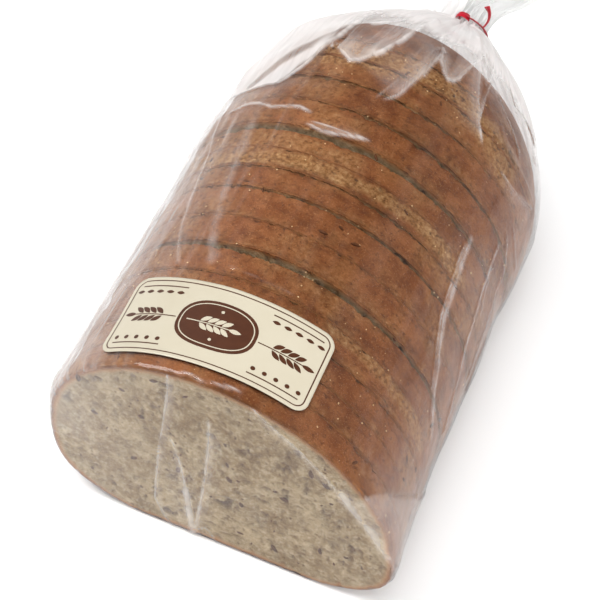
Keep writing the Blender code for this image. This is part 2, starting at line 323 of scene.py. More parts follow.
def slice_starts():
    """Run of each slice's front."""
    return np.concatenate([[0.0], np.cumsum([entry[0] for entry in SLICES])])


def profile_rings(first, last, cell, face_cells, heel):
    """Rings of a slice from the middle of its front to the middle of its back.

    Each ring has a run, a share q of the way to the rim's inner line, an inset in millimetres
    from the crust that holds near the rim, and its side, -1 in the front half and 1 behind. The
    rim follows a quarter circle. The heel has no back face.
    """
    inner = np.linspace(0.02, 1.0, face_cells)
    insets = np.array([3.0, 2.3, 1.7, 1.2, 0.8])
    turn = np.linspace(0.0, math.pi / 2, 5)
    round_inset, round_run = ROUNDING * (1 - np.sin(turn)), ROUNDING * (1 - np.cos(turn))
    count = max(4, int(round((last - first - 2 * ROUNDING) / cell)))
    crust = np.linspace(first + ROUNDING, last - ROUNDING, count + 1)[1:-1]
    face = face_cells + len(insets)
    run = np.concatenate([
        np.full(face, first), first + round_run, crust, last - round_run[::-1], np.full(face, last)])
    share = np.concatenate([inner, np.ones(len(run) - 2 * face_cells), inner[::-1]])
    inset = np.concatenate([
        np.full(face_cells, FACE_INSET), insets, round_inset, np.zeros(len(crust)),
        round_inset[::-1], insets[::-1], np.full(face_cells, FACE_INSET)])
    side = np.sign(run - (first + last) / 2)
    rings = np.stack([run, share, inset, side])
    if heel:
        rings = rings[:, (side < 0.5) | ((inset < 0.01) & (share > 0.99))]
    return rings


def crust_looks(crust, run, degrees, to_front, to_edge, strip):
    """Golden and lit share, height, and dark specks and painted shade of the crust.

    It is golden in the slashes, in a strip behind the slice's front and in faint mottles, and lighter
    golden down the left side, which is painted light from the key lamp on the left. Golden crust is
    cracked, and specks gather in it; at the slice's edges dark specks are painted shade at the gaps
    between slices.
    """
    patch = rough_noise(crust, 7.0, 9, 3, 0.6)
    gilded = 0.7 * np.exp(-to_front / strip) * smooth_step(patch, -0.2, 0.4)
    # Lighter golden down the left side: painted light from the key lamp on the left.
    left = smooth_step(degrees + 20 * patch, 104, 140) * (1 - smooth_step(degrees, 178, 190))
    mottle = 0.45 * smooth_step(rough_noise(crust, 20.0, 12, 3, 0.6), 0.0, 0.5)
    golden = [slash_mask(run, degrees), gilded, left * (0.45 + 0.4 * patch), mottle]
    golden = np.clip(np.maximum.reduce(golden), 0, 1)
    cracks = 1 - np.abs(rough_noise(crust * (1.0, 1.6, 1.0), 3.4, 7, 3, 0.6)) * 2
    height = 0.30 * rough_noise(crust, 12.0, 5, 3) + 0.10 * rough_noise(crust, 2.2, 6, 2)
    height = height + golden * (0.45 * cracks - 0.35 + 0.25 * rough_noise(crust, 1.3, 8, 2))
    spots = np.maximum(0.0, rough_noise(crust * (1.0, 1.3, 1.0), 1.8, 21, 2, 0.7) - 0.42)
    spots = spots * (golden + 0.25 * smooth_step(patch, 0.2, 0.5))
    # Dark specks along the slice's front and back edges: painted shade at the gaps between slices.
    gap_shade = np.exp(-to_edge / 1.1) * np.maximum(0.0, rough_noise(crust, 3.0, 23, 3, 0.6) - 0.08)
    return golden, height, 4.0 * (spots + gap_shade)


def crumb_pores(flat, index):
    """Depth of the pores in the cut face: large ones and small ones, where noise rises past a level."""
    coarse = rough_noise(flat, 3.6, 90 + index, 3, 0.6)
    small = rough_noise(flat, 1.5, 70 + index, 2, 0.6)
    return np.maximum(0.0, coarse - 0.30) * 2.6 + np.maximum(0.0, small - 0.22) * 1.1


def slice_rings(index, columns, cell, face_cells):
    """Points and attributes of one slice.

    A ring's point is the middle of the slice plus q times (reach - inset) along the line to the
    crust. Noise lifts the crust, chips the rims, sinks pores into the crumb and makes the gap to
    the next slice uneven; gaps are half as wide low on the right.
    """
    thick, shift, rise, gap = SLICES[index]
    start = slice_starts()[index]
    heel = index == len(SLICES) - 1
    ahead = 0.0 if heel else SLICES[index + 1][3]
    first = start + gap / 2
    last = HEEL_START + HEEL_LENGTH - TIP_GAP if heel else start + thick - ahead / 2
    rings = profile_rings(first, last, cell, face_cells, heel)
    angle = np.linspace(0, 2 * math.pi, columns, endpoint=False)
    run, share, inset, side, angle = np.broadcast_arrays(*rings[:, :, None], angle[None])
    degrees = np.degrees(angle)
    x, z = loaf_section(run, angle, rise)
    z = np.maximum(z, LOWEST)
    reach = np.hypot(x, z - SLICE_MIDDLE)

    to_front, to_back = np.abs(run - first), np.abs(run - last)
    to_edge = np.minimum(to_front, to_back)
    rim = stacked(x, start, z) + side[..., None] * 40
    chip = np.maximum(0.0, rough_noise(rim, 2.8, 50 + index, 4, 0.7) - 0.06) * 2.2
    chip = chip * np.exp(-((inset / 1.2) ** 2)) * np.exp(-to_edge / 1.3)
    golden, height, specks_and_gap_shade = crust_looks(
        stacked(x, run, z), run, degrees, to_front, to_edge, 2.4 if index else 0.8)
    lift = (height * np.exp(-inset / 2.0) - 1.2 * chip - CRUST_SINK) * smooth_step(z, LOWEST, 4.0)
    scale = share * (reach - inset * share + lift) / reach
    flat = stacked(x * scale, start, SLICE_MIDDLE + (z - SLICE_MIDDLE) * scale)

    facing = (share < 1) | (inset > 0.5)
    depth = np.maximum((1 - share) * (reach - FACE_INSET) + inset * share, 0.0)
    pores = crumb_pores(flat, index) * smooth_step(depth, 0.8, 3.0) * facing
    inward = pores * 1.1 + 0.10 * rough_noise(flat, 0.8, 80 + index, 2) * facing + 0.8 * chip
    slow = rough_noise(stacked(degrees / 24.0, index + 0.5, 0.0), 1.0, 61, 2)
    narrow = 1 - (0.5 + 0.5 * smooth_step(degrees, 15, 75)) * (0.85 + 0.45 * slow)
    to_gap = np.exp(-np.minimum(run - first, last - run) / 3.0) * (side < 0 if heel else 1.0)
    y = run - side * inward + np.where(side < 0, -gap, ahead) / 2 * narrow * to_gap
    # This value darkens the colour: painted shade in the crumb's pores, deeper ones darker, plus the crust's
    # dark specks and painted shade at the gaps.
    pore = np.clip(pores + specks_and_gap_shade * (depth < 0.01), 0, 1)
    return place(y, flat[..., 0] + shift, flat[..., 2]), {"depth": depth, "golden": golden, "pore": pore}


# Film shape

# Creases in the film: line of (run, angle), half width, trail, height, haze. The haze is milky film
# and a painted highlight along the crease. The film trails off milky, with a painted highlight, to the
# left of the line's direction, or to its right if the trail is negative. Past the last slice the run
# goes on through the gather to the neck.
FOLDS = (
    (((129, 140), (129, 135), (132, 130), (132, 123), (129.5, 117), (131, 107), (129, 101)),
     0.65, 0, 0.7, 0.66),
    (((125, 102), (125, 95), (125, 89), (126.5, 80)), 0.4, 0, 0.4, 0.5),
    (((124, 103), (122, 96), (122.5, 92), (124.5, 86), (126.5, 80)), 0.55, 1.5, 0.5, 0.6),
    (((124, 34.5), (109, 34), (98, 33), (84, 31), (72, 27), (58, 19.5), (46, 9)), 1.2, 0, 0.5, 0.34),
    (((121, 35), (109, 35.5), (98, 34.6), (84, 32.5), (72, 28.5), (57, 21)), 0.35, 0, 0.4, 0.4),
    (((135, 21.5), (125, 19), (112, 18.5), (103, 17.5), (88, 14.5), (70, 6.5), (58, 0)), 0.7, -1, 0.7, 0.42),
    (((129, 17), (115, 17), (103, 13)), 0.4, 0, 0.4, 0.34),
    (((142, 22), (138, 16), (129, 8.5), (115, 7), (98, 5), (84, 0)), 0.5, -1.5, 0.6, 0.3),
    (((147, 20), (142.5, 9), (142, -1)), 0.5, 0, 0.5, 0.32),
    (((112, -1), (95, -1), (82, -5)), 0.6, 1, 0.5, 0.24),
    (((156, 38), (156, 28), (160, 18), (165, 10)), 0.5, -4, 0.8, 0.34),
    (((134, 140), (120, 138), (107, 135), (91, 132), (66, 126), (46, 119)), 1.0, 6, 0.5, 0.3),
    (((122, 121), (99, 119), (85, 117), (66, 113), (48, 107.5)), 2.0, -4, 0.4, 0.24),
    (((51, 105), (50, 98), (49, 90), (49, 83), (48, 78)), 0.35, 0, 0.4, 0.08),
    (((1.5, 103), (1, 100), (1.6, 96), (1, 92), (1.5, 88), (2.6, 82), (2.2, 79)), 0.4, 0, 0.5, 0.42),
    (((1.0, 31), (9.2, 22.8), (17, 14.8), (25.5, 5.8), (33, -3)), 0.35, 0, 0.3, 0.45),
    (((142, 148), (143, 133), (145, 121), (157, 115), (172, 110.5), (185, 109), (200, 110)),
     0.8, 0, 0.6, 0.86),
    (((172, 112), (165, 103), (162, 100), (163, 97), (166.5, 94.5), (171, 92), (182, 89), (206, 87),
      (214, 88)), 0.7, 7, 1.2, 0.74),
    (((184, 104), (190, 99), (198, 93), (210, 94)), 0.7, 5, 0.7, 0.5),
    (((147, 84.5), (150, 82), (153, 80), (162, 78), (169, 76), (190, 73)), 0.6, 7, 0.9, 0.5),
    (((146, 86.5), (158, 83), (169, 80), (190, 75)), 0.5, 0, 0.5, 0.26),
    (((192, 75), (181, 73), (175, 70), (173, 68), (174, 66), (177, 64.5), (197, 59.5)),
     0.55, 4, 1.2, 0.6),
    (((216, 63), (208, 62), (195, 60), (182, 57), (173, 55), (165, 52), (157, 47)), 0.55, -4, 1.0, 0.56),
    (((210, 60), (187, 56), (187, 47), (178, 36), (170, 29)), 0.6, -5, 1.0, 0.36),
    (((224, 50), (200, 38), (193, 34), (199, 20), (190, 14)), 0.6, -5, 1.0, 0.4),
    (((222, 100), (206, 103), (192, 103)), 0.8, 4, 0.8, 0.5),
    (((224, 72), (210, 74), (198, 78)), 0.7, 4, 0.8, 0.45),
)

# Creases in the film over the cut face, with (x, z) instead of (run, angle); their haze is milky film and a
# painted highlight along the crease
FACE_CREASES = (
    (((-18.3, 92), (-18.9, 76.7), (-20.5, 60.6), (-22.5, 44.3), (-24.3, 24), (-24.6, 14), (-21.5, 6),
      (-15, -2)), 0.34, 2.5, 0.6, 0.55),
    (((-18.7, 54), (-15.5, 46.7), (-13, 33.9), (-11.7, 19.8), (-10.6, 6), (-9.6, -14)),
     0.7, -2.5, 0.6, 0.5),
    (((-12.6, 30), (-11.5, 18), (-10.2, 4), (-9.2, -14)), 1.5, 0, 0.6, 0.6),
    (((-3.2, 72), (-3.7, 51.4), (-5.5, 30.1), (-7.3, 15.3), (-9.0, 3), (-9.8, -14)), 0.75, 3, 0.6, 0.48),
    (((-8.4, 1.5), (-7.8, 4.7), (-5.1, 7.6), (-2.8, 5.9), (-0.4, -1)), 0.35, 0, 0.4, 0.45),
    (((-67, 30), (-57.2, 30.6), (-46, 32.6)), 0.3, 2, 0.4, 0.4),
    (((-3.2, 29.2), (7.1, 32.5)), 0.4, 0, 0.2, 0.25),
    (((8, 88), (26.8, 75.2), (38.9, 64.8), (48, 54)), 0.35, -2.5, 0.6, 0.42),
    (((43, 61), (55.5, 46.5), (63, 35), (69, 25)), 2.4, 0, 0.7, 0.52),
)

# Where the loose milky film on the upper left begins, as (run, angle), and the clear slit above it
MILK_EDGE = ((140, 176), (143, 150), (145, 121), (151, 118), (161, 113), (172, 110), (194, 109))
SLIT = ((148, 136), (160, 127), (169, 118), (180, 109), (191, 98))


def film_angles():
    """Angles of the film's columns: even over the top, and such that x steps evenly under the base."""
    top = np.linspace(-0.25, math.pi + 0.25, 361)[:-1]
    reach = math.cos(0.25) ** (2 / BASE_POWER)
    across = np.linspace(-reach, reach, 131)[:-1]
    base = 2 * math.pi - np.arccos(np.sign(across) * np.abs(across) ** (BASE_POWER / 2))
    return np.concatenate([top, base])


def slice_levels(run):
    """Sideways shift and rise of the slice at each run."""
    index = np.clip(np.searchsorted(slice_starts(), run, side="right") - 1, 0, len(SLICES) - 1)
    table = np.array(SLICES)
    return table[index, 1], table[index, 2]


def film_section(run, angle):
    """x and z of the film round the slices at a run.

    Its reach from the loaf's middle is half the largest and half the mean reach of the crust
    within 8 mm of the run, smoothed over 13 rings, so the film spans the gaps between slices.
    """
    reaches = []
    for offset in np.linspace(-8.0, 8.0, 17):
        at = np.clip(run + offset, 0.0, HEEL_START)
        shift, rise = slice_levels(at)
        x, z = loaf_section(at, angle, rise)
        reaches.append(np.hypot(x + shift, z - HEEL_HEIGHT))
    reach = 0.5 * np.mean(reaches, axis=0) + 0.5 * np.max(reaches, axis=0)
    padded = np.pad(reach, ((6, 6), (0, 0)), mode="edge")
    reach = sum(w * padded[k:k + len(reach)] for k, w in enumerate(np.hanning(15)[1:-1] / 7.0))
    x, z = loaf_section(np.minimum(run, HEEL_START), angle)
    own = np.hypot(x, z - HEEL_HEIGHT)
    return x * reach / own, HEEL_HEIGHT + (z - HEEL_HEIGHT) * reach / own


def film_slack(run, degrees):
    """How far the film stands off the crust: most on the left, where it hangs loose, plus long soft waves."""
    left = smooth_step(degrees, 118, 165) * (1 - smooth_step(degrees, 200, 235))
    left = left * (1 - 0.6 * smooth_step(run, 125, 158))
    right = np.exp(-(((degrees - 8) / 22) ** 2))
    wave = rough_noise(stacked(degrees * ARC / 9.0, run / 42.0, 0.0), 1.0, 31, 3, 0.55)
    crown = 0.35 * (1 - right) * np.maximum(wave, 0)
    return 0.45 + left * (1.6 + 0.8 * wave) + right * 0.25 * wave + crown


def crease_field(u, v, creases):
    """Height and haze of a set of creases; the haze is milky film and a painted highlight along each crease
    and its trail.

    Each is a bell across its line, uneven along it and fading over 4 mm at its ends. It may have
    a streaky trail on one side that dies off as exp(-gap / trail).
    """
    height, haze = np.zeros(u.shape), np.zeros(u.shape)
    uneven = rough_noise(stacked(u, v, 0.0), 6.0, 51, 3, 0.7)
    for line, half, trail, tall, milk_and_highlight in creases:
        gap, share, hand = line_distance(u, v, line)
        total = np.hypot(*np.diff(np.asarray(line, dtype=float), axis=0).T).sum()
        to_end = np.minimum(share, 1 - share) * total
        bell = np.exp(-((gap / (half * (1 + 0.5 * uneven))) ** 2)) * smooth_step(to_end, 0.0, 4.0)
        tail = 0.0
        if trail:
            streak = rough_noise(stacked(share * total / 22.0, gap / 1.4, 0.0), 1.0, 53, 3, 0.7)
            tail = 0.55 * (1 + 0.7 * streak) * np.exp(-gap / abs(trail))
            tail = np.where(hand * trail > 0, tail, 0.0) * smooth_step(to_end, 0.0, 12.0)
        height = np.maximum(height, tall * np.maximum(bell, tail))
        haze = np.maximum(haze, milk_and_highlight * np.maximum(bell * (0.75 + 0.5 * uneven), tail))
    return height, haze


def arc_lines(creases, shrink=0.0):
    """The creases with their angles as millimetres of arc, which may shrink along the gather."""
    ready = []
    for line, *rest in creases:
        line = np.array(line, dtype=float)
        line[:, 1] *= ARC * (1 - shrink * gather_share(line[:, 0]))
        ready.append((line, *rest))
    return ready


def gather_share(run):
    """How far along the gather a run is, from 0 to 1."""
    return np.clip((run - LAST_RUN) / GATHER_SPAN, 0, 1)


def film_body_rings():
    """The film round the slices, ring by ring from the cut face to the last slice before the heel.

    A second layer lies low on the right of the front, past a slanting edge.
    """
    run, angle = np.broadcast_arrays(np.linspace(0.0, LAST_RUN, 200)[:, None], film_angles()[None])
    degrees = np.degrees(angle)
    x, z = film_section(run, angle)
    tall, haze = crease_field(run, degrees * ARC, arc_lines(FOLDS))
    flap = smooth_step(31.6 - run * 1.06 - degrees, -0.5, 0.5) * smooth_step(degrees, -40, -20)
    reach = np.hypot(x, z - HEEL_HEIGHT)
    lift = film_slack(run, degrees) * smooth_step(run, -1.0, 6.0) + tall + 0.5 * flap
    edge = 0.9 * (1 - smooth_step(run, 0.0, 1.2)) / reach
    grow = 1 + lift / reach
    height = np.maximum(HEEL_HEIGHT + (z - HEEL_HEIGHT) * grow, FILM_LOWEST) - HEEL_HEIGHT
    z = np.maximum(HEEL_HEIGHT + height * (1 - edge), FILM_LOWEST)
    streak = rough_noise(stacked(degrees * 0.45, run / 30.0, 0.0), 1.0, 37, 3, 0.6)
    cling = smooth_step(degrees + 2.5 * streak, 64, 68) * (1 - smooth_step(degrees + 4 * streak, 96, 106))
    veil_and_reflection = 0.014 * (1 - cling) + 0.02 * np.maximum(streak, 0)
    # On the left flank the veil is milky film and a painted reflection of the key light; the faint band along
    # the right edge is a painted reflection at the silhouette.
    left = smooth_step(degrees + 8 * streak, 106, 150) * (1 - smooth_step(degrees, 195, 230))
    right = np.exp(-(((degrees - 2) / 14) ** 2))
    veil_and_reflection = veil_and_reflection + left * (0.22 + 0.16 * streak) + right * (0.03 + 0.06 * streak)
    haze = np.maximum.reduce([haze, veil_and_reflection, flap * (0.21 + 0.08 * streak), gather_milk(run, degrees)])
    return place(run, x * (grow - edge), z), np.clip(haze, 0, 1)


def gather_milk(run, degrees):
    """How milky the loose film is: streaks that run to the neck, dense on the upper left and round the neck.

    The middle window over the heel stays clear, and a slit above the left fold shows the bread.
    """
    streak = rough_noise(stacked(degrees * 0.3, run / 34.0, 0.0), 1.0, 43, 4, 0.7)
    share = gather_share(run)
    edge = np.interp(run, *np.array(MILK_EDGE).T)
    left = smooth_step(degrees - edge + 2 * streak, -1, 3) * (1 - smooth_step(degrees, 196, 240))
    low = smooth_step(degrees + 10 * streak, 140, 170) * (1 - 0.6 * share)
    slit, _, _ = line_distance(run, degrees * ARC, np.array(SLIT) * (1.0, ARC))
    clear = 0.85 * np.exp(-((slit / 2.6) ** 4)) + 0.2 * smooth_step(streak, 0.1, 0.5)
    right = (1 - smooth_step(degrees - 34 * share, 8, 20)) * smooth_step(degrees, -60, -20)
    right = right * smooth_step(run, 165, 215)
    neck = smooth_step(share + 0.07 * streak, 0.40, 0.58)
    below = 1 - smooth_step(degrees, -60, -20) * (1 - smooth_step(degrees, 200, 240))
    milk = (left * (0.86 + 0.2 * streak - 0.64 * clear - 0.45 * low), right * (0.24 + 0.25 * streak),
            neck * (0.84 + 0.18 * streak), 0.3 * below * smooth_step(run, 150, 200))
    return np.clip(np.maximum.reduce(milk), 0, MOST_HAZE)


def clear_of_heel(rings):
    """The rings pushed out where they would cut the heel.

    Round the loaf's middle line, each point's reach becomes at least that of the crust in its
    direction, 2.5 mm ahead of it, plus 1 mm.
    """
    ahead, gap = 2.5, 1.0
    angle = np.linspace(0, 2 * math.pi, 361)
    out = rings.copy()
    for row, ring in enumerate(rings):
        run = ring[:, 1].mean() - FRONT_Y - ahead
        if run >= HEEL_START + HEEL_LENGTH:
            break
        x, z = loaf_section(np.full(len(angle), run), angle)
        way = np.unwrap(np.arctan2(z - HEEL_HEIGHT, x))
        need = np.hypot(x, z - HEEL_HEIGHT) + gap
        middle = np.array([FRONT_X + DRIFT * run, HEEL_HEIGHT])
        u, v = (ring[:, ::2] - middle).T
        here = np.mod(np.arctan2(v, u) - way[0], 2 * math.pi) + way[0]
        grow = np.maximum(1.0, np.interp(here, way, need) / np.hypot(u, v))
        out[row, :, ::2] = middle + (ring[:, ::2] - middle) * grow[:, None]
    out[..., 2] = np.maximum(out[..., 2], FILM_LOWEST)
    return out


def film_front_rings(rim):
    """The film over the cut face: the rim's ring drawn in to the middle, with its creases standing out.

    A second layer lies on the lower right, past a slanting edge.
    """
    share = np.concatenate([[0.012], np.linspace(0.03, 1.0, 105)])[:, None]
    middle = np.array([FRONT_X, FRONT_Y, HEEL_HEIGHT + 8.0])
    rings = middle + (rim[None] - middle) * share[..., None]
    x, z = rings[..., 0] - FRONT_X, rings[..., 2]
    tall, haze = crease_field(x, z, FACE_CREASES)
    wave = rough_noise(stacked(x, z * 0.4, 0.0), 14.0, 41, 3)
    flap = smooth_step((x - 45) * 0.79 + (z - 56.7) * 0.61, -0.4, 0.4)
    flap = flap * (1 - smooth_step((z - 54.6) - (x - 45) * 0.62, -0.4, 0.4))
    inside = 1 - smooth_step(np.broadcast_to(share, x.shape), 0.97, 1.0)
    out = 0.35 * np.minimum(1, inside * 3) + (tall + 0.4 * np.maximum(wave, 0) + 0.4 * flap) * inside
    rings[..., 1] = rim[None, :, 1] - out
    corner = smooth_step(-x, 40, 60) * smooth_step(z, 28, 34)
    between = smooth_step(-x, 4, 10) * (1 - smooth_step(-x, 18, 24)) * (1 - smooth_step(z, 20, 60))
    mist = 0.015 + 0.05 * np.maximum(wave, 0) + 0.10 * corner + 0.11 * smooth_step(-x, 5, 50)
    return rings, np.maximum.reduce([haze, mist + 0.07 * between, flap * 0.17])


def fine_pleats(angle):
    """Uneven pleats from 0, the outer fold, to 1, the inner fold: the mean of two bent sine waves."""
    bent = angle + 0.12 * np.sin(3 * angle + 1.0) + 0.05 * np.sin(7 * angle)
    return 0.5 - 0.3 * np.sin(23 * bent) - 0.2 * np.sin(37 * bent + 1.3)


def gather_rings(shoulder, shoulder_haze, count):
    """The film from the last slice to the neck.

    A ring is the shoulder moved towards the neck: the width by 0.5 s + 0.5 s^4.5, the run by s
    and the height by s^2.2, where s runs from 0 to 1. Broad pleats push it in and out, fine ones
    deepen towards the neck, and it bulges on the upper left.
    """
    angle = film_angles()[None]
    degrees = np.degrees(angle)
    share = np.linspace(0.0, 1.0, count + 1)[1:, None] ** 0.85
    neck = neck_ring(NECK[1] - NECK_STEP, film_angles())
    rings = shoulder[None] + (neck - shoulder)[None] * stacked(
        0.5 * share + 0.5 * share**4.5, share, share**2.2)
    away = rings - rings.mean(axis=1, keepdims=True)
    away[..., 1] = 0
    away /= np.linalg.norm(away, axis=2, keepdims=True)
    wave = np.sin(7 * angle + 0.7 + 0.8 * share) + 0.5 * np.sin(12 * angle + 2.0 - share)
    push = 2.6 * np.sin(math.pi * share**1.6) * (wave / 1.5 - 0.4) - PLEAT * share**3 * fine_pleats(angle)
    bulge = np.exp(-(((degrees - 138) / 26) ** 2)) * np.exp(-(((share - 0.34) / 0.2) ** 2))
    push = (push * (1 - 0.8 * bulge) + 4.6 * bulge) * np.clip(rings[..., 2] / 10.0, 0, 1)
    rings = clear_of_heel(rings + away * push[..., None])
    run, degrees = np.broadcast_arrays(LAST_RUN + GATHER_SPAN * share, degrees)
    arc = degrees * ARC * (1 - ARC_SHRINK * share)
    tall, haze = crease_field(run, arc, arc_lines(FOLDS, ARC_SHRINK))
    rings = rings + away * (tall * smooth_step(share, 0.0, 0.04))[..., None]
    faded = shoulder_haze[None] + (0.02 - shoulder_haze[None]) * smooth_step(share, 0.0, 0.3)
    haze = np.maximum.reduce([haze, gather_milk(run, degrees), faded])
    return rings, np.clip(haze, 0, MOST_HAZE)


def neck_ring(y, angle, pleat=0.0):
    """The gathered neck: an upright oval, with its fine pleats up to the given depth."""
    x, z = neck_oval(angle, pleat)
    return stacked(NECK[0] + x, y, NECK[2] + z)


def neck_oval(angle, pleat):
    """x and z of the neck's oval round its own middle."""
    inward = pleat * fine_pleats(angle)
    return (NECK_HALF[0] - inward) * np.cos(angle), (NECK_HALF[1] - inward) * np.sin(angle)


def lap_mesh():
    """A loose pleat of film that lies over the tie on the left of the neck.

    Its reach is the neck's plus a hump (1 - u^2)^0.7 along the neck; it is wavy and closes on the
    film at all four edges.
    """
    rows, columns, first, last = 60, 90, 92, 232
    degrees = np.linspace(first, last, columns)[None]
    angle = np.radians(degrees)
    u = np.linspace(-1, 1, rows)[:, None]
    across = np.clip(np.sin(math.pi * (degrees - first) / (last - first)), 0, 1)
    wave = 0.5 * np.sin(19 * angle + 1.5 * u) + 0.3 * np.sin(33 * angle - u)
    reach = -0.6 + 2.6 * (1 - u**2) ** 0.7 * across**0.4 * (1 + 0.35 * wave)
    flare = 3.5 * u**2
    x = NECK[0] + (NECK_HALF[0] + reach + flare) * np.cos(angle)
    z = NECK[2] + (NECK_HALF[1] + reach + flare * 0.7) * np.sin(angle)
    points = stacked(x, NECK[1] + 8.0 * u, z).reshape(-1, 3)
    haze = np.clip(0.72 + 0.15 * wave, 0, 0.9)
    return build_mesh("film_lap", points, [sheet_faces(rows, columns)[:, ::-1]], {"haze": haze})


def tail_rings(count):
    """The flared tail: the neck's oval opens into a flat fan of two layers that share deep waves."""
    angle = np.mod(film_angles()[None], 2 * math.pi)
    run = np.linspace(0.0, TAIL_LENGTH, count)[:, None]
    share = run / TAIL_LENGTH
    upper = angle <= math.pi
    across = np.where(upper, angle, 2 * math.pi - angle) / math.pi
    half = NECK_HALF[0] + (TAIL_HALF - NECK_HALF[0]) * share
    wave = TAIL_DEPTH * share**0.7 * np.sin(2 * math.pi * TAIL_WAVES * across + 0.6)
    fine = 0.7 * share**0.5 * np.sin(2 * math.pi * 11 * across + 2.2 * share)
    thick = TAIL_THICK * np.sin(math.pi * across) ** 0.5 * (1 - smooth_step(share, 0.8, 1.0))
    oval_x, oval_z = neck_oval(angle, PLEAT)
    blend = smooth_step(run, 0.0, 0.35 * TAIL_LENGTH)
    x = oval_x + (half * (1 - 2 * across) - oval_x) * blend
    z = oval_z + (wave + fine + np.where(upper, 1.0, -1.0) * thick - oval_z) * blend
    turn = TAIL_TURN * blend
    y = NECK[1] + NECK_STEP + run * np.cos(turn) - x * np.sin(turn)
    x = NECK[0] + run * np.sin(turn) + x * np.cos(turn)
    streak = rough_noise(stacked(across * 14, share * 2.0, 0.0), 1.0, 47, 3)
    haze = np.clip(0.74 + 0.22 * streak - 0.16 * share, 0.2, MOST_HAZE)
    return stacked(x, y, NECK[2] - TAIL_DROOP * share**2 + z), haze


# Materials


class Sheet:
    """Short calls for laying out a material's nodes."""

    def __init__(self, name):
        self.material = bpy.data.materials.new(name)
        self.material.use_nodes = True
        self.tree = self.material.node_tree
        self.tree.nodes.clear()
        self.out = self.tree.nodes.new("ShaderNodeOutputMaterial")

    def add(self, kind, inputs=None, **settings):
        """A node with its settings; inputs are values or (node, socket) pairs."""
        node = self.tree.nodes.new("ShaderNode" + kind)
        for key, value in settings.items():
            setattr(node, key, value)
        for key, value in (inputs or {}).items():
            self.put(node, key, value)
        return node

    def put(self, node, socket, value):
        """Sets an input to a value, or joins it to a (node, socket) pair."""
        if isinstance(value, tuple) and isinstance(value[0], bpy.types.Node):
            self.tree.links.new(value[0].outputs[value[1]], node.inputs[socket])
        else:
            node.inputs[socket].default_value = value

    def finish(self, shader, socket=0):
        """Joins the last shader to the output and returns the material."""
        self.tree.links.new(shader.outputs[socket], self.out.inputs["Surface"])
        return self.material

    def value(self, name):
        """The piece's own stored value."""
        return self.add("Attribute", attribute_name=name, attribute_type="GEOMETRY"), "Fac"

    def noise(self, scale, detail=3.0, rough=0.55, stretch=None):
        """Noise on Object coordinates."""
        source = (self.add("TexCoord"), "Object")
        if stretch:
            source = (self.add("Mapping", {"Vector": source, "Scale": stretch}), "Vector")
        inputs = {"Vector": source, "Scale": scale, "Detail": detail, "Roughness": rough}
        return self.add("TexNoise", inputs), "Fac"

    def ramp(self, source, stops):
        """A colour ramp; stops are (place, colour), or (place, grey share)."""
        node = self.add("ValToRGB", {"Fac": source})
        ramp = node.color_ramp
        while len(ramp.elements) < len(stops):
            ramp.elements.new(0.5)
        for element, (where, colour) in zip(ramp.elements, stops):
            element.position = where
            element.color = rgb(colour) if isinstance(colour, tuple) else (colour, colour, colour, 1)
        return node, "Color"

    def mix(self, factor, a, b):
        """A colour mix."""
        return self.add("Mix", {0: factor, 6: a, 7: b}, data_type="RGBA"), 2

    def layers(self, colour, rows):
        """A colour with others laid over it; each row has a source, two stops of strength and a colour."""
        for source, low, high, other in rows:
            colour = self.mix(self.ramp(source, [low, high]), colour, rgb(other))
        return colour

    def math(self, operation, a, b, clamp=False):
        """A sum on values."""
        return self.add("Math", {0: a, 1: b}, operation=operation, use_clamp=clamp), 0


def linear(value):
    """sRGB share to linear."""
    return value / 12.92 if value <= 0.04045 else ((value + 0.055) / 1.055) ** 2.4


def rgb(colour):
    """A colour given as 0-255 sRGB, as a linear RGBA value."""
    return tuple(linear(c / 255) for c in colour[:3]) + (1.0,)


# Bread colours, 0-255: crust from dark to light, its brown and dark flecks and its pale grains; the
# golden slashes, also painted light down the left side; dark specks in the crust and painted shade
# at the gaps between slices; crumb from dark to light, its shadows, lights and the painted shade in
# its pores; the rim
CRUST = ((110, 60, 30), (129, 75, 39), (146, 91, 52), (164, 108, 67), (98, 53, 28), (72, 40, 23),
         (206, 156, 106))
GOLD = ((88, 54, 28), (148, 103, 60), (178, 137, 92), (206, 172, 130))
CRUST_SPECKS_AND_SHADE = (50, 34, 24)
CRUMB = ((142, 113, 74), (176, 149, 109), (214, 195, 159), (116, 86, 50), (232, 218, 189), (88, 50, 18))
RIM = ((122, 76, 44), (168, 114, 68), (194, 150, 104))
# Milky film round the loaf, and a greyer copy for the tail: painted shade, since the flat tail takes more
# light
FILM_MILK, TAIL_SHADED_MILK = (251, 249, 248), (231, 231, 230)
# Plain finishes: name, colour, roughness, colour of the spots, scale and strength of the grain
SEED_SKIN = ("seed_skin", (104, 60, 26), 0.6, (62, 36, 16), 900, 0.3)
FLOUR_FLECK = ("flour_fleck", (236, 206, 158), 0.6, (214, 168, 112), 1200, 0.2)
CREAM_PAPER = ("label_paper", (187, 179, 160), 0.36, (181, 172, 151), 60, 0.05)
BROWN_PRINT = ("brown_print", (74, 40, 22), 0.4, (62, 32, 18), 300, 0.05)
RED_TIE = ("red_tie", (172, 22, 40), 0.35, (140, 14, 30), 500, 0.2)
PALE_FLOOR = ("pale_floor", (250, 250, 250), 0.9, (247, 247, 247), 3, 0.0)


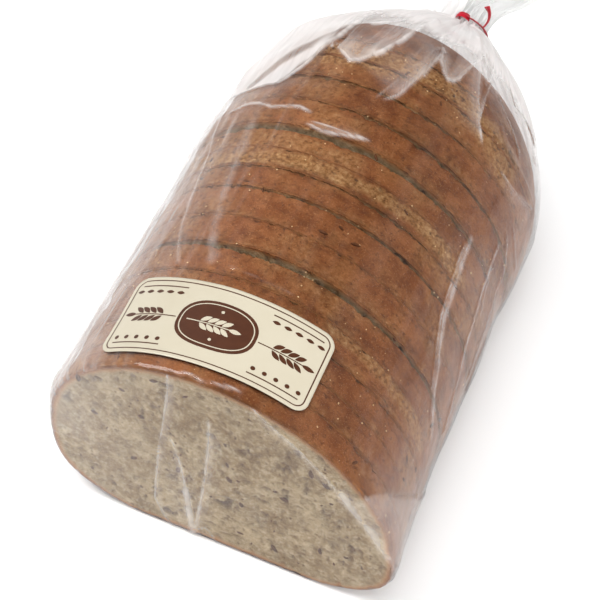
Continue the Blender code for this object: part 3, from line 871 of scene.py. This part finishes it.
def rye_bread():
    """Crust, golden slashes and crumb of the rye loaf, set by each point's depth below the crust, with
    painted light down the crust's left side and painted shade in the pores and at the gaps.
    """
    s = Sheet("rye_bread")
    depth, golden, pore = s.value("depth"), s.value("golden"), s.value("pore")
    broad, medium, fine = s.noise(42, 3), s.noise(160, 5, 0.6), s.noise(560, 5, 0.7)
    tiny, streak = s.noise(1500, 3, 0.6), s.noise(240, 4, 0.65, (0.35, 1.0, 0.35))
    crust = s.ramp(broad, list(zip((0.3, 0.5, 0.7), CRUST)))
    crust = s.layers(crust, (
        (medium, (0.42, 0.0), (0.66, 0.65), CRUST[3]), (streak, (0.32, 0.55), (0.46, 0.0), CRUST[4]),
        (fine, (0.32, 0.7), (0.44, 0.0), CRUST[5]), (tiny, (0.34, 0.35), (0.46, 0.0), CRUST[4]),
        (tiny, (0.58, 0.0), (0.72, 0.4), CRUST[6])))
    gold = s.ramp(fine, list(zip((0.3, 0.46, 0.6, 0.75), GOLD)))
    outside = s.mix(golden, crust, gold)
    # Dark specks in the crust, and painted shade at the slice's edges by the gaps.
    outside = s.mix(s.math("MULTIPLY", pore, 0.85, clamp=True), outside, rgb(CRUST_SPECKS_AND_SHADE))
    crumb = s.ramp(s.noise(260, 6, 0.72), list(zip((0.34, 0.5, 0.66), CRUMB)))
    crumb = s.layers(crumb, (
        (s.noise(95, 3), (0.36, 0.3), (0.55, 0.0), CRUMB[0]), (broad, (0.44, 0.0), (0.6, 0.4), CRUMB[2]),
        (fine, (0.34, 0.6), (0.46, 0.0), CRUMB[3]), (fine, (0.54, 0.0), (0.68, 0.5), CRUMB[4]),
        (s.noise(330, 2), (0.27, 0.85), (0.33, 0.0), CRUMB[5])))
    # Painted shade in the crumb's pores.
    crumb = s.mix(s.math("MULTIPLY", pore, 0.8, clamp=True), crumb, rgb(CRUMB[5]))
    rim = s.math("ADD", depth, s.math("MULTIPLY", s.math("SUBTRACT", medium, 0.5), 2.4))
    rim = s.math("MULTIPLY", rim, 0.2, clamp=True)
    under = s.ramp(rim, list(zip((0.0, 0.2, 0.42, 0.75), (*RIM, CRUMB[1]))))
    inside = s.mix(s.ramp(rim, [(0.3, 0.0), (0.75, 1.0)]), under, crumb)
    cut = s.ramp(s.math("MULTIPLY", depth, 1.6, clamp=True), [(0.0, 0.0), (0.5, 1.0)])
    colour = s.mix(cut, outside, inside)
    relief = s.math("ADD", fine, s.math("MULTIPLY", tiny, 0.6))
    bump = s.add("Bump", {"Strength": 0.75, "Distance": 0.0008, "Height": relief})
    rough = s.ramp(fine, [(0.3, 0.5), (0.7, 0.75)])
    return s.finish(s.add("BsdfPrincipled", {
        "Base Color": colour, "Roughness": rough, "Normal": (bump, "Normal"), "Specular IOR Level": 0.25}))


def clear_film(name, milk_colour):
    """Clear film: see-through, milky where it is gathered, with a gloss that grows at a slant; its haze also
    holds painted highlights along the creases and painted reflections on the flanks.
    """
    s = Sheet(name)
    haze = s.value("haze")
    long = s.noise(70, 3, 0.55, (1.0, 0.25, 1.0))
    short = s.noise(300, 2)
    relief = s.math("ADD", long, s.math("MULTIPLY", short, 0.12))
    bump = s.add("Bump", {"Strength": 0.30, "Distance": 0.0012, "Height": relief})
    front = s.add("BsdfPrincipled", {"Base Color": rgb(milk_colour), "Roughness": 0.5})
    back = s.add("BsdfTranslucent", {"Color": rgb(milk_colour)})
    milk = s.add("MixShader", {0: 0.35, 1: (front, 0), 2: (back, 0)})
    clear = s.add("BsdfTransparent", {"Color": (0.99, 0.99, 0.99, 1.0)})
    body = s.add("MixShader", {0: haze, 1: (clear, 0), 2: (milk, 0)})
    gloss = s.add("BsdfGlossy", {"Color": (1, 1, 1, 1), "Roughness": 0.11, "Normal": (bump, "Normal")})
    slant = s.add("Fresnel", {"IOR": 1.42, "Normal": (bump, "Normal")})
    share = s.math("SUBTRACT", 0.95, s.math("MULTIPLY", haze, 0.88))
    mirror = s.math("MULTIPLY", (slant, 0), share, clamp=True)
    return s.finish(s.add("MixShader", {0: mirror, 1: (body, 0), 2: (gloss, 0)}))


def plain_finish(name, colour, roughness, spots, scale, strength):
    """A moulded or printed surface with slight spots of a second colour and a fine grain."""
    s = Sheet(name)
    grain = s.noise(scale, 3)
    shade = s.mix(s.ramp(grain, [(0.35, 0.0), (0.7, 0.6)]), rgb(colour), rgb(spots))
    bump = s.add("Bump", {"Strength": strength, "Distance": 0.0002, "Height": grain})
    return s.finish(s.add("BsdfPrincipled", {
        "Base Color": shade, "Roughness": roughness, "Normal": (bump, "Normal")}))


# Label

# The label's size, and where its middle lies: arc from the top of the crown, run and turn
LABEL_WIDTH, LABEL_LENGTH, LABEL_CORNER = 78.0, 34.7, 5.0
LABEL_ARC, LABEL_RUN, LABEL_TURN = -6.3, 23.0, 0.018
# The paper's height over the crown, the height of its waves and edge curl, and its thickness
PAPER_LIFT, PAPER_WAVE, PAPER_CURL, PAPER_THICK = 1.05, 0.10, 0.12, 0.22
PRINT_LIFT, BADGE_LIFT = 0.04, 0.08
BADGE_POWER = 2.5


def crown_point(u, v, lift):
    """A point of the label's own plane (u, v), laid on the crown.

    The plane is turned a little, then u is measured as arc length along the outline from its
    top and v as run. The lift is along the crown's outward normal.
    """
    arc = LABEL_ARC + u * math.cos(LABEL_TURN) - v * math.sin(LABEL_TURN)
    run = LABEL_RUN + u * math.sin(LABEL_TURN) + v * math.cos(LABEL_TURN)
    angle = np.linspace(0.0, math.pi, 1441)
    x, z = slice_outline(angle, WIDTH, HEIGHT)
    along = np.concatenate([[0.0], np.cumsum(np.hypot(np.diff(x), np.diff(z)))])
    top = np.interp(math.pi / 2, angle, along)
    x, z = slice_outline(np.interp(-arc, along - top, angle), WIDTH, HEIGHT)
    slope = (z - WIDEST) * (WIDTH / 2) ** 2 / (HEIGHT - WIDEST) ** 2
    length = np.hypot(x, slope)
    return place(run, x + lift * x / length, z + lift * slope / length)


def label_grid(columns, rows, inset=0.0):
    """u and v of a grid over the label: a rectangle whose corners are pulled in to quarter circles."""
    u = np.linspace(-1, 1, columns)[None] * (LABEL_WIDTH / 2 - inset)
    v = np.linspace(-1, 1, rows)[:, None] * (LABEL_LENGTH / 2 - inset)
    u, v = np.broadcast_arrays(u, v)
    corner = LABEL_CORNER - inset
    du = np.maximum(np.abs(u) - (LABEL_WIDTH / 2 - inset - corner), 0)
    dv = np.maximum(np.abs(v) - (LABEL_LENGTH / 2 - inset - corner), 0)
    length = np.hypot(du, dv)
    keep = np.divide(np.maximum(du, dv), length, out=np.ones_like(length), where=length > 0)
    return u - np.sign(u) * du * (1 - keep), v - np.sign(v) * dv * (1 - keep)


def label_lift(u, v):
    """Height of the label over the film: nearly flat, with a slight curl along its edges."""
    wave = rough_noise(stacked(u, v, 0.0), 16.0, 61, 2)
    rim = smooth_step(np.abs(v) / (LABEL_LENGTH / 2), 0.8, 1.0)
    rim = rim + smooth_step(np.abs(u) / (LABEL_WIDTH / 2), 0.92, 1.0)
    return PAPER_LIFT + PAPER_WAVE * wave + PAPER_CURL * rim * (1 + wave)


def label_mesh():
    """The paper: a top grid, the same grid lower down with its faces turned over, and a wall between."""
    rows, columns = 60, 130
    u, v = label_grid(columns, rows)
    top = crown_point(u, v, label_lift(u, v)).reshape(-1, 3)
    low = crown_point(u, v, label_lift(u, v) - PAPER_THICK).reshape(-1, 3)
    faces, count = sheet_faces(rows, columns), rows * columns
    edge = grid_edge(np.arange(count).reshape(rows, columns, 1))[:, 0]
    after = np.roll(edge, -1)
    wall = np.stack([edge, edge + count, after + count, after], -1)
    return build_mesh("label_paper", np.concatenate([top, low]), [faces, faces[:, ::-1] + count, wall])


def grid_edge(grid):
    """The values round a grid's edge, each corner once."""
    return np.concatenate([grid[0, :-1], grid[:-1, -1], grid[-1, :0:-1], grid[:0:-1, 0]])


def stroke(line, width, steps=40):
    """u, v grid of a line of even width: the line plus and minus half its width."""
    line = np.asarray(line, dtype=float)
    along = np.concatenate([[0.0], np.cumsum(np.hypot(*np.diff(line, axis=0).T))])
    at = np.linspace(0, along[-1], steps)
    u, v = np.interp(at, along, line[:, 0]), np.interp(at, along, line[:, 1])
    du, dv = np.gradient(u), np.gradient(v)
    side = np.linspace(-1, 1, 3)[:, None] * width / 2 / np.hypot(du, dv)
    return stacked(u - side * dv, v + side * du)


def leaf(centre, turn, length, width, bend=0.0):
    """u, v grid of a pointed leaf: half width w sin(pi t)^0.8 along a slightly bent middle line."""
    t = np.linspace(0, 1, 12)
    half = width / 2 * np.sin(math.pi * np.clip(t, 0.01, 0.99)) ** 0.8
    side = np.linspace(-1, 1, 5)[:, None]
    u = (t * length)[None] + 0 * side
    v = side * half + bend * np.sin(math.pi * t)
    c, s = math.cos(turn), math.sin(turn)
    return np.stack([centre[0] + c * u - s * v, centre[1] + s * u + c * v], -1)


def superellipse(angle, power):
    """Points of the unit superellipse in the given directions."""
    c, s = np.cos(angle), np.sin(angle)
    size = (np.abs(c) ** power + np.abs(s) ** power) ** (-1 / power)
    return stacked(size * c, size * s)


def disc(centre, radius_u, radius_v, power=2.0):
    """u, v grid of a filled superellipse: rings from its middle out to its edge."""
    out = np.linspace(0.0, 1.0, 8)[:, None, None]
    rim = superellipse(np.linspace(0, 2 * math.pi, 61), power) * (radius_u, radius_v)
    return np.array(centre) + out * rim[None]


def wheat_ear(centre, turn, grains, size):
    """Grids of an ear of wheat: pairs of grains along a stalk, and one at its tip."""
    grids = []
    c, s = math.cos(turn), math.sin(turn)
    for step in range(grains):
        u = step * size * 0.62
        for side in (-1, 1):
            foot = (centre[0] + c * u - s * side * 0.12 * size, centre[1] + s * u + c * side * 0.12 * size)
            grids.append(leaf(foot, turn + side * 0.62, size, size * 0.42, side * 0.03 * size))
    tip = (centre[0] + c * grains * size * 0.62, centre[1] + s * grains * size * 0.62)
    grids.append(leaf(tip, turn, size * 1.1, size * 0.42))
    stalk = [(centre[0] - c * size * 1.2, centre[1] - s * size * 1.2), tip]
    grids.append(stroke(stalk, size * 0.10, 12))
    return grids


def print_grids():
    """The label's dark print: border, middle badge, two large ears, leaves, dots and bars."""
    loop = grid_edge(stacked(*label_grid(160, 60, 1.7)))
    loop = np.concatenate([loop, loop[:1]])
    grids = [stroke(loop, 0.45, 420), disc((0.0, 0.0), 14.5, 10.2, BADGE_POWER)]
    for side in (-1, 1):
        turn = 0.0 if side > 0 else math.pi
        grids += wheat_ear((side * 20.5, 0.0), turn, 4, 4.4)
        for step in range(5):
            grids.append(leaf((side * (16.5 + 4.2 * step), 10.6), turn, 3.0, 1.5))
            grids.append(disc((side * (17.5 + 4.2 * step), -10.6), 0.85, 0.85))
        for height in (-13.0, 13.2):
            grids.append(stroke([(side * 16.0, height), (side * 35.0, height)], 0.5, 30))
    return grids


def badge_grids():
    """The cream print on the badge: an inner rim, an ear of wheat and two dots."""
    rim = superellipse(np.linspace(0, 2 * math.pi, 160), BADGE_POWER) * (13.1, 8.8)
    grids = [stroke(rim, 0.4, 200)]
    grids += [disc((0.0, side * 6.2), 0.6, 0.6) for side in (-1, 1)]
    return grids + wheat_ear((-6.0, 0.0), 0.0, 4, 4.2)


def print_mesh(name, grids, lift):
    """All grids laid on the label as one thin mesh, with every face turned to look up."""
    points, faces, first = [], [], 0
    for grid in grids:
        u, v = grid[..., 0], grid[..., 1]
        points.append(crown_point(u, v, label_lift(u, v) + lift).reshape(-1, 3))
        faces.append(sheet_faces(*grid.shape[:2], first))
        first += len(points[-1])
    points, faces = np.concatenate(points), np.concatenate(faces)
    corner = points[faces]
    up = np.cross(corner[:, 2] - corner[:, 0], corner[:, 3] - corner[:, 1])[:, 2] > 0
    return build_mesh(name, points, [np.where(up[:, None], faces, faces[:, ::-1])])


# Twist tie

# Lines in millimetres from the top of the neck: the curled end with its twisted root, and the end
# that stands up on the right; each with its twist in degrees
TIE_PATHS = (
    (((3.4, -0.2, -0.6), (2.6, -0.8, 0.6), (1.2, -1.4, 1.6), (-0.2, -1.9, 1.8), (-1.3, -2.1, 0.9),
      (-1.2, -1.9, -0.4), (-0.2, -1.7, -0.9)), 50),
    (((9.4, 0.6, -3.4), (10.4, 0.8, -1.4), (11.0, 1.2, 1.0), (10.8, 1.8, 3.6), (9.8, 2.2, 5.2),
      (9.2, 2.4, 6.0)), 70),
)


def smooth_line(points, rounds=3):
    """Cuts the corners of a broken line and keeps its ends."""
    line = np.array(points, dtype=float)
    for _ in range(rounds):
        near, far = 0.75 * line[:-1] + 0.25 * line[1:], 0.25 * line[:-1] + 0.75 * line[1:]
        cut = np.stack([near, far], axis=1).reshape(-1, 3)
        line = np.vstack([line[:1], cut[1:-1], line[-1:]])
    return line


def tie_profile():
    """Ribbon section: flat wings with a round bead for the wire in the middle."""
    across = np.linspace(-1, 1, 15)
    top = 0.14 + 0.20 * np.exp(-((across / 0.22) ** 2)) - 0.06 * np.abs(across) ** 6
    w = np.concatenate([across, across[::-1]]) * 1.45
    t = np.concatenate([top, -top[::-1]])
    return w, t


def ribbon_rings(points, twist):
    """Sections carried along a line, turned evenly by the twist in degrees on its way."""
    line = smooth_line(points)
    forward = np.gradient(line, axis=0)
    forward /= np.linalg.norm(forward, axis=1, keepdims=True)
    w, t = tie_profile()
    side = np.array([0.0, 1.0, 0.0])
    rings = []
    for k, (point, ahead) in enumerate(zip(line, forward)):
        side = side - ahead * side.dot(ahead)
        side /= np.linalg.norm(side)
        turn = math.radians(twist) * k / (len(line) - 1)
        other = np.cross(ahead, side)
        wide = side * math.cos(turn) + other * math.sin(turn)
        flat = np.cross(ahead, wide)
        rings.append(point + w[:, None] * wide + t[:, None] * flat)
    return np.array(rings)


def band_rings():
    """The tie's turn round the neck: its section carried round the neck's oval.

    On the right and the top the ribbon stands on its edge and leans forward, and on the left it
    lies flat: the lean is a smooth step of the angle.
    """
    angle = np.linspace(0, 2 * math.pi, 97)[:-1]
    w, t = tie_profile()
    degrees = np.degrees(angle)
    lean = 0.92 * (1 - smooth_step(degrees, 84, 112)) + 0.92 * smooth_step(degrees, 290, 340)
    hidden = smooth_step(degrees, 84, 112) * (1 - smooth_step(degrees, 240, 290))
    upright, tilted, hidden = np.cos(lean)[:, None], np.sin(lean)[:, None], hidden[:, None]
    reach = t * upright + (w + 1.1) * tilted - 1.8 * hidden - 0.6
    y = w * upright - t * tilted + 0.6 * tilted
    c, s = np.cos(angle)[:, None], np.sin(angle)[:, None]
    return stacked(NECK[0] + (NECK_HALF[0] + reach) * c, NECK[1] - y, NECK[2] + (NECK_HALF[1] + reach) * s)


def tie_mesh():
    """The band round the neck and the two twisted ends, as closed strips in one mesh."""
    band = band_rings()
    rows, columns = band.shape[:2]
    count = rows * columns
    here = np.arange(columns)
    after, last = (here + 1) % columns, count - columns
    seam = stacked(last + here, last + after, after, here)
    points, polygons = [band.reshape(-1, 3)], [tube_faces(rows, columns)[:, ::-1], seam]
    foot = np.array([NECK[0], NECK[1], NECK[2] + NECK_HALF[1]])
    for path, twist in TIE_PATHS:
        rings = ribbon_rings(np.array(path) + foot, twist)
        rows, columns = rings.shape[:2]
        size = rows * columns
        points += [rings.reshape(-1, 3), rings[[0, -1]].mean(axis=1)]
        polygons += [
            tube_faces(rows, columns, count),
            fan_faces(count + size, count, columns, False),
            fan_faces(count + size + 1, count + size - columns, columns, True)]
        count += size + 2
    return build_mesh("twist_tie_ribbon", np.concatenate(points), polygons)


# Seeds

SEED_DEPTH = 0.9
FLECK_COUNT = 260
# Seeds that the photo shows on the cut face: x from its middle and height
FACE_SEEDS = (
    (-36.2, 67.7), (-47.6, 49.1), (-32.7, 31.5), (-15.5, 34.7), (3.2, 48.6), (4.0, 40.5), (39.6, 57.9),
    (8.5, 11.8), (8.7, 28.8), (38.9, 19.6), (21.7, 10.4), (-29.3, 56.7), (-12.4, 77.1), (-24.2, 79.1),
    (-53.1, 64.8), (34.0, 61.3), (24.7, 41.5),
)


def seed_shape():
    """A long seed: an oval section carried along its length with radius sin(pi t)^0.6."""
    t = np.linspace(0.0, 1.0, 9)[:, None]
    a = np.linspace(0, 2 * math.pi, 9)[:-1][None]
    radius = np.sin(math.pi * np.clip(t, 0.02, 0.98)) ** 0.6 / 2
    x = (t - 0.5) + 0 * a
    return np.stack([x, radius * np.cos(a), radius * np.sin(a)], -1)


def seeds_mesh(name, places, sizes, turns, normals):
    """The same seed set at each place, turned in the surface's plane and pressed half into it."""
    shape = seed_shape()
    rows, columns = shape.shape[:2]
    flat = shape.reshape(-1, 3)
    n = normals / np.linalg.norm(normals, axis=1, keepdims=True)
    a = np.cross(n, np.where(np.abs(n[:, 1:2]) > 0.9, (1.0, 0.0, 0.0), (0.0, 1.0, 0.0)))
    a /= np.linalg.norm(a, axis=1, keepdims=True)
    b = np.cross(n, a)
    along = a * np.cos(turns)[:, None] + b * np.sin(turns)[:, None]
    across = np.cross(n, along)
    points = places[:, None]
    for axis, way in enumerate((along, across, n)):
        points = points + flat[None, :, axis:axis + 1] * sizes[:, None, axis:axis + 1] * way[:, None]
    first = np.arange(len(places))[:, None] * len(flat)
    quads = (tube_faces(rows, columns)[None] + first[:, None]).reshape(-1, 4)
    ends = [first + np.arange(columns), first + len(flat) - 1 - np.arange(columns)]
    return build_mesh(name, points.reshape(-1, 3), [quads, *ends])


def crust_spots(rng, count, runs, degrees, depth):
    """Random places on the crust, sunk by a depth, with the directions out of it."""
    run, angle = rng.uniform(*runs, count), np.radians(rng.uniform(*degrees, count))
    x, z = loaf_section(run, angle)
    up = stacked(x, 0 * x, (z - WIDEST) * 1.3)
    up /= np.linalg.norm(up, axis=1, keepdims=True)
    return place(run, x, z) - up * depth, up


def face_spots(rng):
    """Seeds of the cut face: places, sizes, turns and directions.

    The photo's seeds come first, then up to twenty small ones at random places inside an oval.
    """
    extra = rng.uniform((-58, 6), (60, 80), (60, 2))
    inside = ((extra[:, 0] / 60) ** 2 + ((extra[:, 1] - 34) / 46) ** 2) < 0.9
    face = np.concatenate([FACE_SEEDS, extra[inside][:20]])
    count = len(face)
    places = stacked(FRONT_X + face[:, 0], FRONT_Y + 0.15, face[:, 1])
    large, small = rng.uniform(2.8, 4.2, count), rng.uniform(1.1, 2.0, count)
    length = np.where(np.arange(count) < len(FACE_SEEDS), large, small)
    sizes = stacked(length, length * rng.uniform(0.40, 0.62, count), SEED_DEPTH)
    return places, sizes, rng.uniform(0, math.pi, count), np.tile([0.0, -1.0, 0.0], (count, 1))


# Settings


class LoafSettings(PropertyGroup):
    """Detail of the bread."""

    crust_cell: FloatProperty(
        name="Crust cell", description="Distance between the crust's rings", default=0.62 * MM,
        min=0.2 * MM, subtype="DISTANCE", unit="LENGTH")
    columns: IntProperty(name="Columns", description="Points round a slice", default=440, min=60)
    seed_count: IntProperty(name="Seeds", description="Number of loose seeds in the crust", default=46, min=0)


class BagSettings(PropertyGroup):
    """The clear bag."""

    gather_rings: IntProperty(
        name="Gather rings", description="Rings between the heel and the neck", default=110, min=10)
    tail_rings: IntProperty(name="Tail rings", description="Rings along the tail", default=80, min=8)


class StudioSettings(PropertyGroup):
    """Floor and lights."""

    key_power: FloatProperty(
        name="Key power", description="Strength of the large soft light", default=16.0, min=0, unit="POWER")
    world: FloatProperty(name="World", description="Strength of the white surroundings", default=1.0, min=0)


# Operators


class BREADBAG_OT_slices(Operator):
    """Adds the fifteen slices"""

    bl_idname = "breadbag.slices"
    bl_label = "Add Slices"

    def execute(self, context):
        s = context.scene.breadbag_loaf
        bread = rye_bread()
        for index in range(len(SLICES)):
            columns, face_cells = (s.columns, FACE_CELLS) if index else FRONT_CELLS
            rings, values = slice_rings(index, columns, s.crust_cell / MM, face_cells)
            add_piece(closed_tube(f"slice_{index + 1:02d}", rings, values), bread, "bag")
        return {"FINISHED"}


class BREADBAG_OT_seeds(Operator):
    """Adds the seeds in the crumb and in the crust"""

    bl_idname = "breadbag.seeds"
    bl_label = "Add Seeds"

    def execute(self, context):
        rng = np.random.default_rng(11)
        dark = plain_finish(*SEED_SKIN)
        pale = plain_finish(*FLOUR_FLECK)
        places, sizes, turns, normals = face_spots(rng)
        count = context.scene.breadbag_loaf.seed_count
        crust, up = crust_spots(rng, count, (2, 180), (5, 178), 0.65)
        length = rng.uniform(1.5, 4.0, count)
        places = np.concatenate([places, crust])
        sizes = np.concatenate([sizes, stacked(length, length * 0.35, SEED_DEPTH)])
        turns = np.concatenate([turns, rng.uniform(0, math.pi, count)])
        normals = np.concatenate([normals, up])
        add_piece(seeds_mesh("dark_seeds", places, sizes, turns, normals), dark, "bag")
        crust, up = crust_spots(rng, FLECK_COUNT, (1, 185), (-5, 182), 0.42)
        sizes = rng.uniform(0.25, 0.62, FLECK_COUNT)[:, None] * (1.3, 1.0, 0.9)
        turns = rng.uniform(0, math.pi, FLECK_COUNT)
        add_piece(seeds_mesh("pale_flecks", crust, sizes, turns, up), pale, "bag")
        return {"FINISHED"}


class BREADBAG_OT_film(Operator):
    """Adds the clear bag"""

    bl_idname = "breadbag.film"
    bl_label = "Add Bag"

    def execute(self, context):
        s = context.scene.breadbag_bag
        # The tail takes the greyer copy of the film: painted shade.
        clear, shaded_film = clear_film("clear_film", FILM_MILK), clear_film("tail_shaded_film", TAIL_SHADED_MILK)
        body, haze = film_body_rings()
        front, front_haze = film_front_rings(body[0])
        front[-1], front_haze[-1] = body[0], haze[0]
        gather, gather_haze = gather_rings(body[-1], haze[-1], s.gather_rings)
        tail, tail_haze = tail_rings(s.tail_rings)
        neck, neck_haze = neck_ring(NECK[1], film_angles(), PLEAT)[None], gather_haze[-1:]
        for name, rings, hazes, film in (
            ("film_front", [front], [front_haze], clear),
            ("film_body", [body], [haze], clear),
            ("film_gather", [body[-1:], gather, neck], [haze[-1:], gather_haze, neck_haze], clear),
            ("film_tail", [neck, tail], [neck_haze, tail_haze], shaded_film),
        ):
            values = {"haze": np.concatenate(hazes)}
            mesh = closed_tube(name, np.concatenate(rings), values, (name == "film_front", False))
            add_piece(mesh, film, "bag")
        add_piece(lap_mesh(), clear, "bag")
        return {"FINISHED"}


class BREADBAG_OT_label(Operator):
    """Adds the paper label and its print"""

    bl_idname = "breadbag.label"
    bl_label = "Add Label"

    def execute(self, context):
        paper = plain_finish(*CREAM_PAPER)
        dark = plain_finish(*BROWN_PRINT)
        add_piece(label_mesh(), paper, "label")
        add_piece(print_mesh("label_print", print_grids(), PRINT_LIFT), dark, "label")
        add_piece(print_mesh("label_badge", badge_grids(), BADGE_LIFT), paper, "label")
        return {"FINISHED"}


class BREADBAG_OT_tie(Operator):
    """Adds the twist tie"""

    bl_idname = "breadbag.tie"
    bl_label = "Add Twist Tie"

    def execute(self, context):
        red = plain_finish(*RED_TIE)
        add_piece(tie_mesh(), red, "twist_tie")
        return {"FINISHED"}


def add_floor():
    """A large pale floor."""
    span = np.linspace(-1, 1, 9) * 9000.0
    x, y = np.meshgrid(span, span)
    mesh = build_mesh("floor", stacked(x, y, 0 * x).reshape(-1, 3), [sheet_faces(9, 9)])
    mesh.materials.append(plain_finish(*PALE_FLOOR))
    floor = bpy.data.objects.new("floor", mesh)
    bpy.context.scene.collection.objects.link(floor)


def add_world(strength):
    """Surroundings that are white at the horizon and grey above."""
    world = bpy.data.worlds.new("white_room")
    world.use_nodes = True
    tree = world.node_tree
    back = tree.nodes["Background"]
    ways = tree.nodes.new("ShaderNodeTexCoord")
    parts = tree.nodes.new("ShaderNodeSeparateXYZ")
    ramp = tree.nodes.new("ShaderNodeValToRGB")
    tree.links.new(ways.outputs["Generated"], parts.inputs[0])
    tree.links.new(parts.outputs["Z"], ramp.inputs["Fac"])
    tree.links.new(ramp.outputs["Color"], back.inputs["Color"])
    stops = ramp.color_ramp.elements
    stops[0].position, stops[0].color = 0.02, (1, 1, 1, 1)
    stops[1].position, stops[1].color = 0.36, (0.12, 0.12, 0.12, 1)
    back.inputs["Strength"].default_value = strength
    bpy.context.scene.world = world
    bpy.context.scene.view_settings.view_transform = "Standard"


# Area lights: name, place, size, share of the key power, and whether gloss mirrors it
LIGHTS = (
    ("key", (-0.95, -0.25, 1.25), 0.9, 1.25, True),
    ("overhead", (0.15, -0.15, 1.7), 1.9, 1.55, False),
    ("front", (0.35, -1.5, 0.75), 1.0, 0.34, False),
    ("right", (1.35, -0.35, 0.8), 1.0, 0.95, False),
)
LIGHT_TARGET = (0, 0, 0.04)


def add_light(name, place_at, size, power, mirrored):
    """A square soft light that looks at the target. One that isn't mirrored shows in no gloss."""
    data = bpy.data.lights.new(name, "AREA")
    data.size, data.energy = size, power
    light = bpy.data.objects.new(name, data)
    bpy.context.scene.collection.objects.link(light)
    light.location = place_at
    light.rotation_euler = (Vector(LIGHT_TARGET) - Vector(place_at)).to_track_quat("-Z", "Y").to_euler()
    light.visible_glossy = mirrored


# The camera that was fitted to the photo: its place in metres, its direction in degrees round and
# above the object, its roll in radians and its lens
CAMERA_PLACE = (0.202895, -0.506576, 0.661202)
CAMERA_TURN, CAMERA_LIFT, CAMERA_ROLL = 22.6582, 49.2608, 0.0463
CAMERA_LENS = 134.67


def add_camera():
    """The photo's camera."""
    data = bpy.data.cameras.new("camera")
    data.sensor_width, data.lens = 36.0, CAMERA_LENS
    data.clip_start, data.clip_end = 0.05, 20.0
    camera = bpy.data.objects.new("camera", data)
    bpy.context.scene.collection.objects.link(camera)
    turn, lift, roll = math.radians(CAMERA_TURN), math.radians(CAMERA_LIFT), CAMERA_ROLL
    toward = Vector((math.sin(turn) * math.cos(lift), -math.cos(turn) * math.cos(lift), math.sin(lift)))
    right = Vector((math.cos(turn), math.sin(turn), 0))
    up = toward.cross(right)
    side = math.cos(roll) * right + math.sin(roll) * up
    top = math.cos(roll) * up - math.sin(roll) * right
    camera.matrix_world = Matrix((*zip(side, top, toward, CAMERA_PLACE), (0, 0, 0, 1)))
    bpy.context.scene.camera = camera


class BREADBAG_OT_studio(Operator):
    """Adds the floor, lights, surroundings and camera"""

    bl_idname = "breadbag.studio"
    bl_label = "Add Studio"

    def execute(self, context):
        s = context.scene.breadbag_studio
        add_floor()
        add_world(s.world)
        for name, place_at, size, share, mirrored in LIGHTS:
            add_light(name, place_at, size, s.key_power * share, mirrored)
        add_camera()
        return {"FINISHED"}


class BREADBAG_PT_panel(Panel):
    """Panel with the loaf's operators"""

    bl_label = "Bread Bag"
    bl_idname = "BREADBAG_PT_panel"
    bl_space_type = "VIEW_3D"
    bl_region_type = "UI"
    bl_category = "Bread Bag"

    def draw(self, context):
        scene = context.scene
        for group, keys in (
            (scene.breadbag_loaf, ("crust_cell", "columns", "seed_count")),
            (scene.breadbag_bag, ("gather_rings", "tail_rings")),
            (scene.breadbag_studio, ("key_power", "world")),
        ):
            box = self.layout.box()
            for key in keys:
                box.prop(group, key)
        for step in STEPS:
            self.layout.operator(step.bl_idname)


GROUPS = (
    ("breadbag_loaf", LoafSettings),
    ("breadbag_bag", BagSettings),
    ("breadbag_studio", StudioSettings),
)
STEPS = (
    BREADBAG_OT_slices,
    BREADBAG_OT_seeds,
    BREADBAG_OT_film,
    BREADBAG_OT_label,
    BREADBAG_OT_tie,
    BREADBAG_OT_studio,
)


def register():
    for name, group in GROUPS:
        bpy.utils.register_class(group)
        setattr(bpy.types.Scene, name, PointerProperty(type=group))
    for step in (*STEPS, BREADBAG_PT_panel):
        bpy.utils.register_class(step)


def unregister():
    for step in (BREADBAG_PT_panel, *reversed(STEPS)):
        bpy.utils.unregister_class(step)
    for name, group in reversed(GROUPS):
        delattr(bpy.types.Scene, name)
        bpy.utils.unregister_class(group)


def main():
    register()
    bpy.ops.breadbag.slices()
    bpy.ops.breadbag.seeds()
    bpy.ops.breadbag.film()
    bpy.ops.breadbag.label()
    bpy.ops.breadbag.tie()
    bpy.ops.breadbag.studio()


if __name__ == "__main__":
    main()
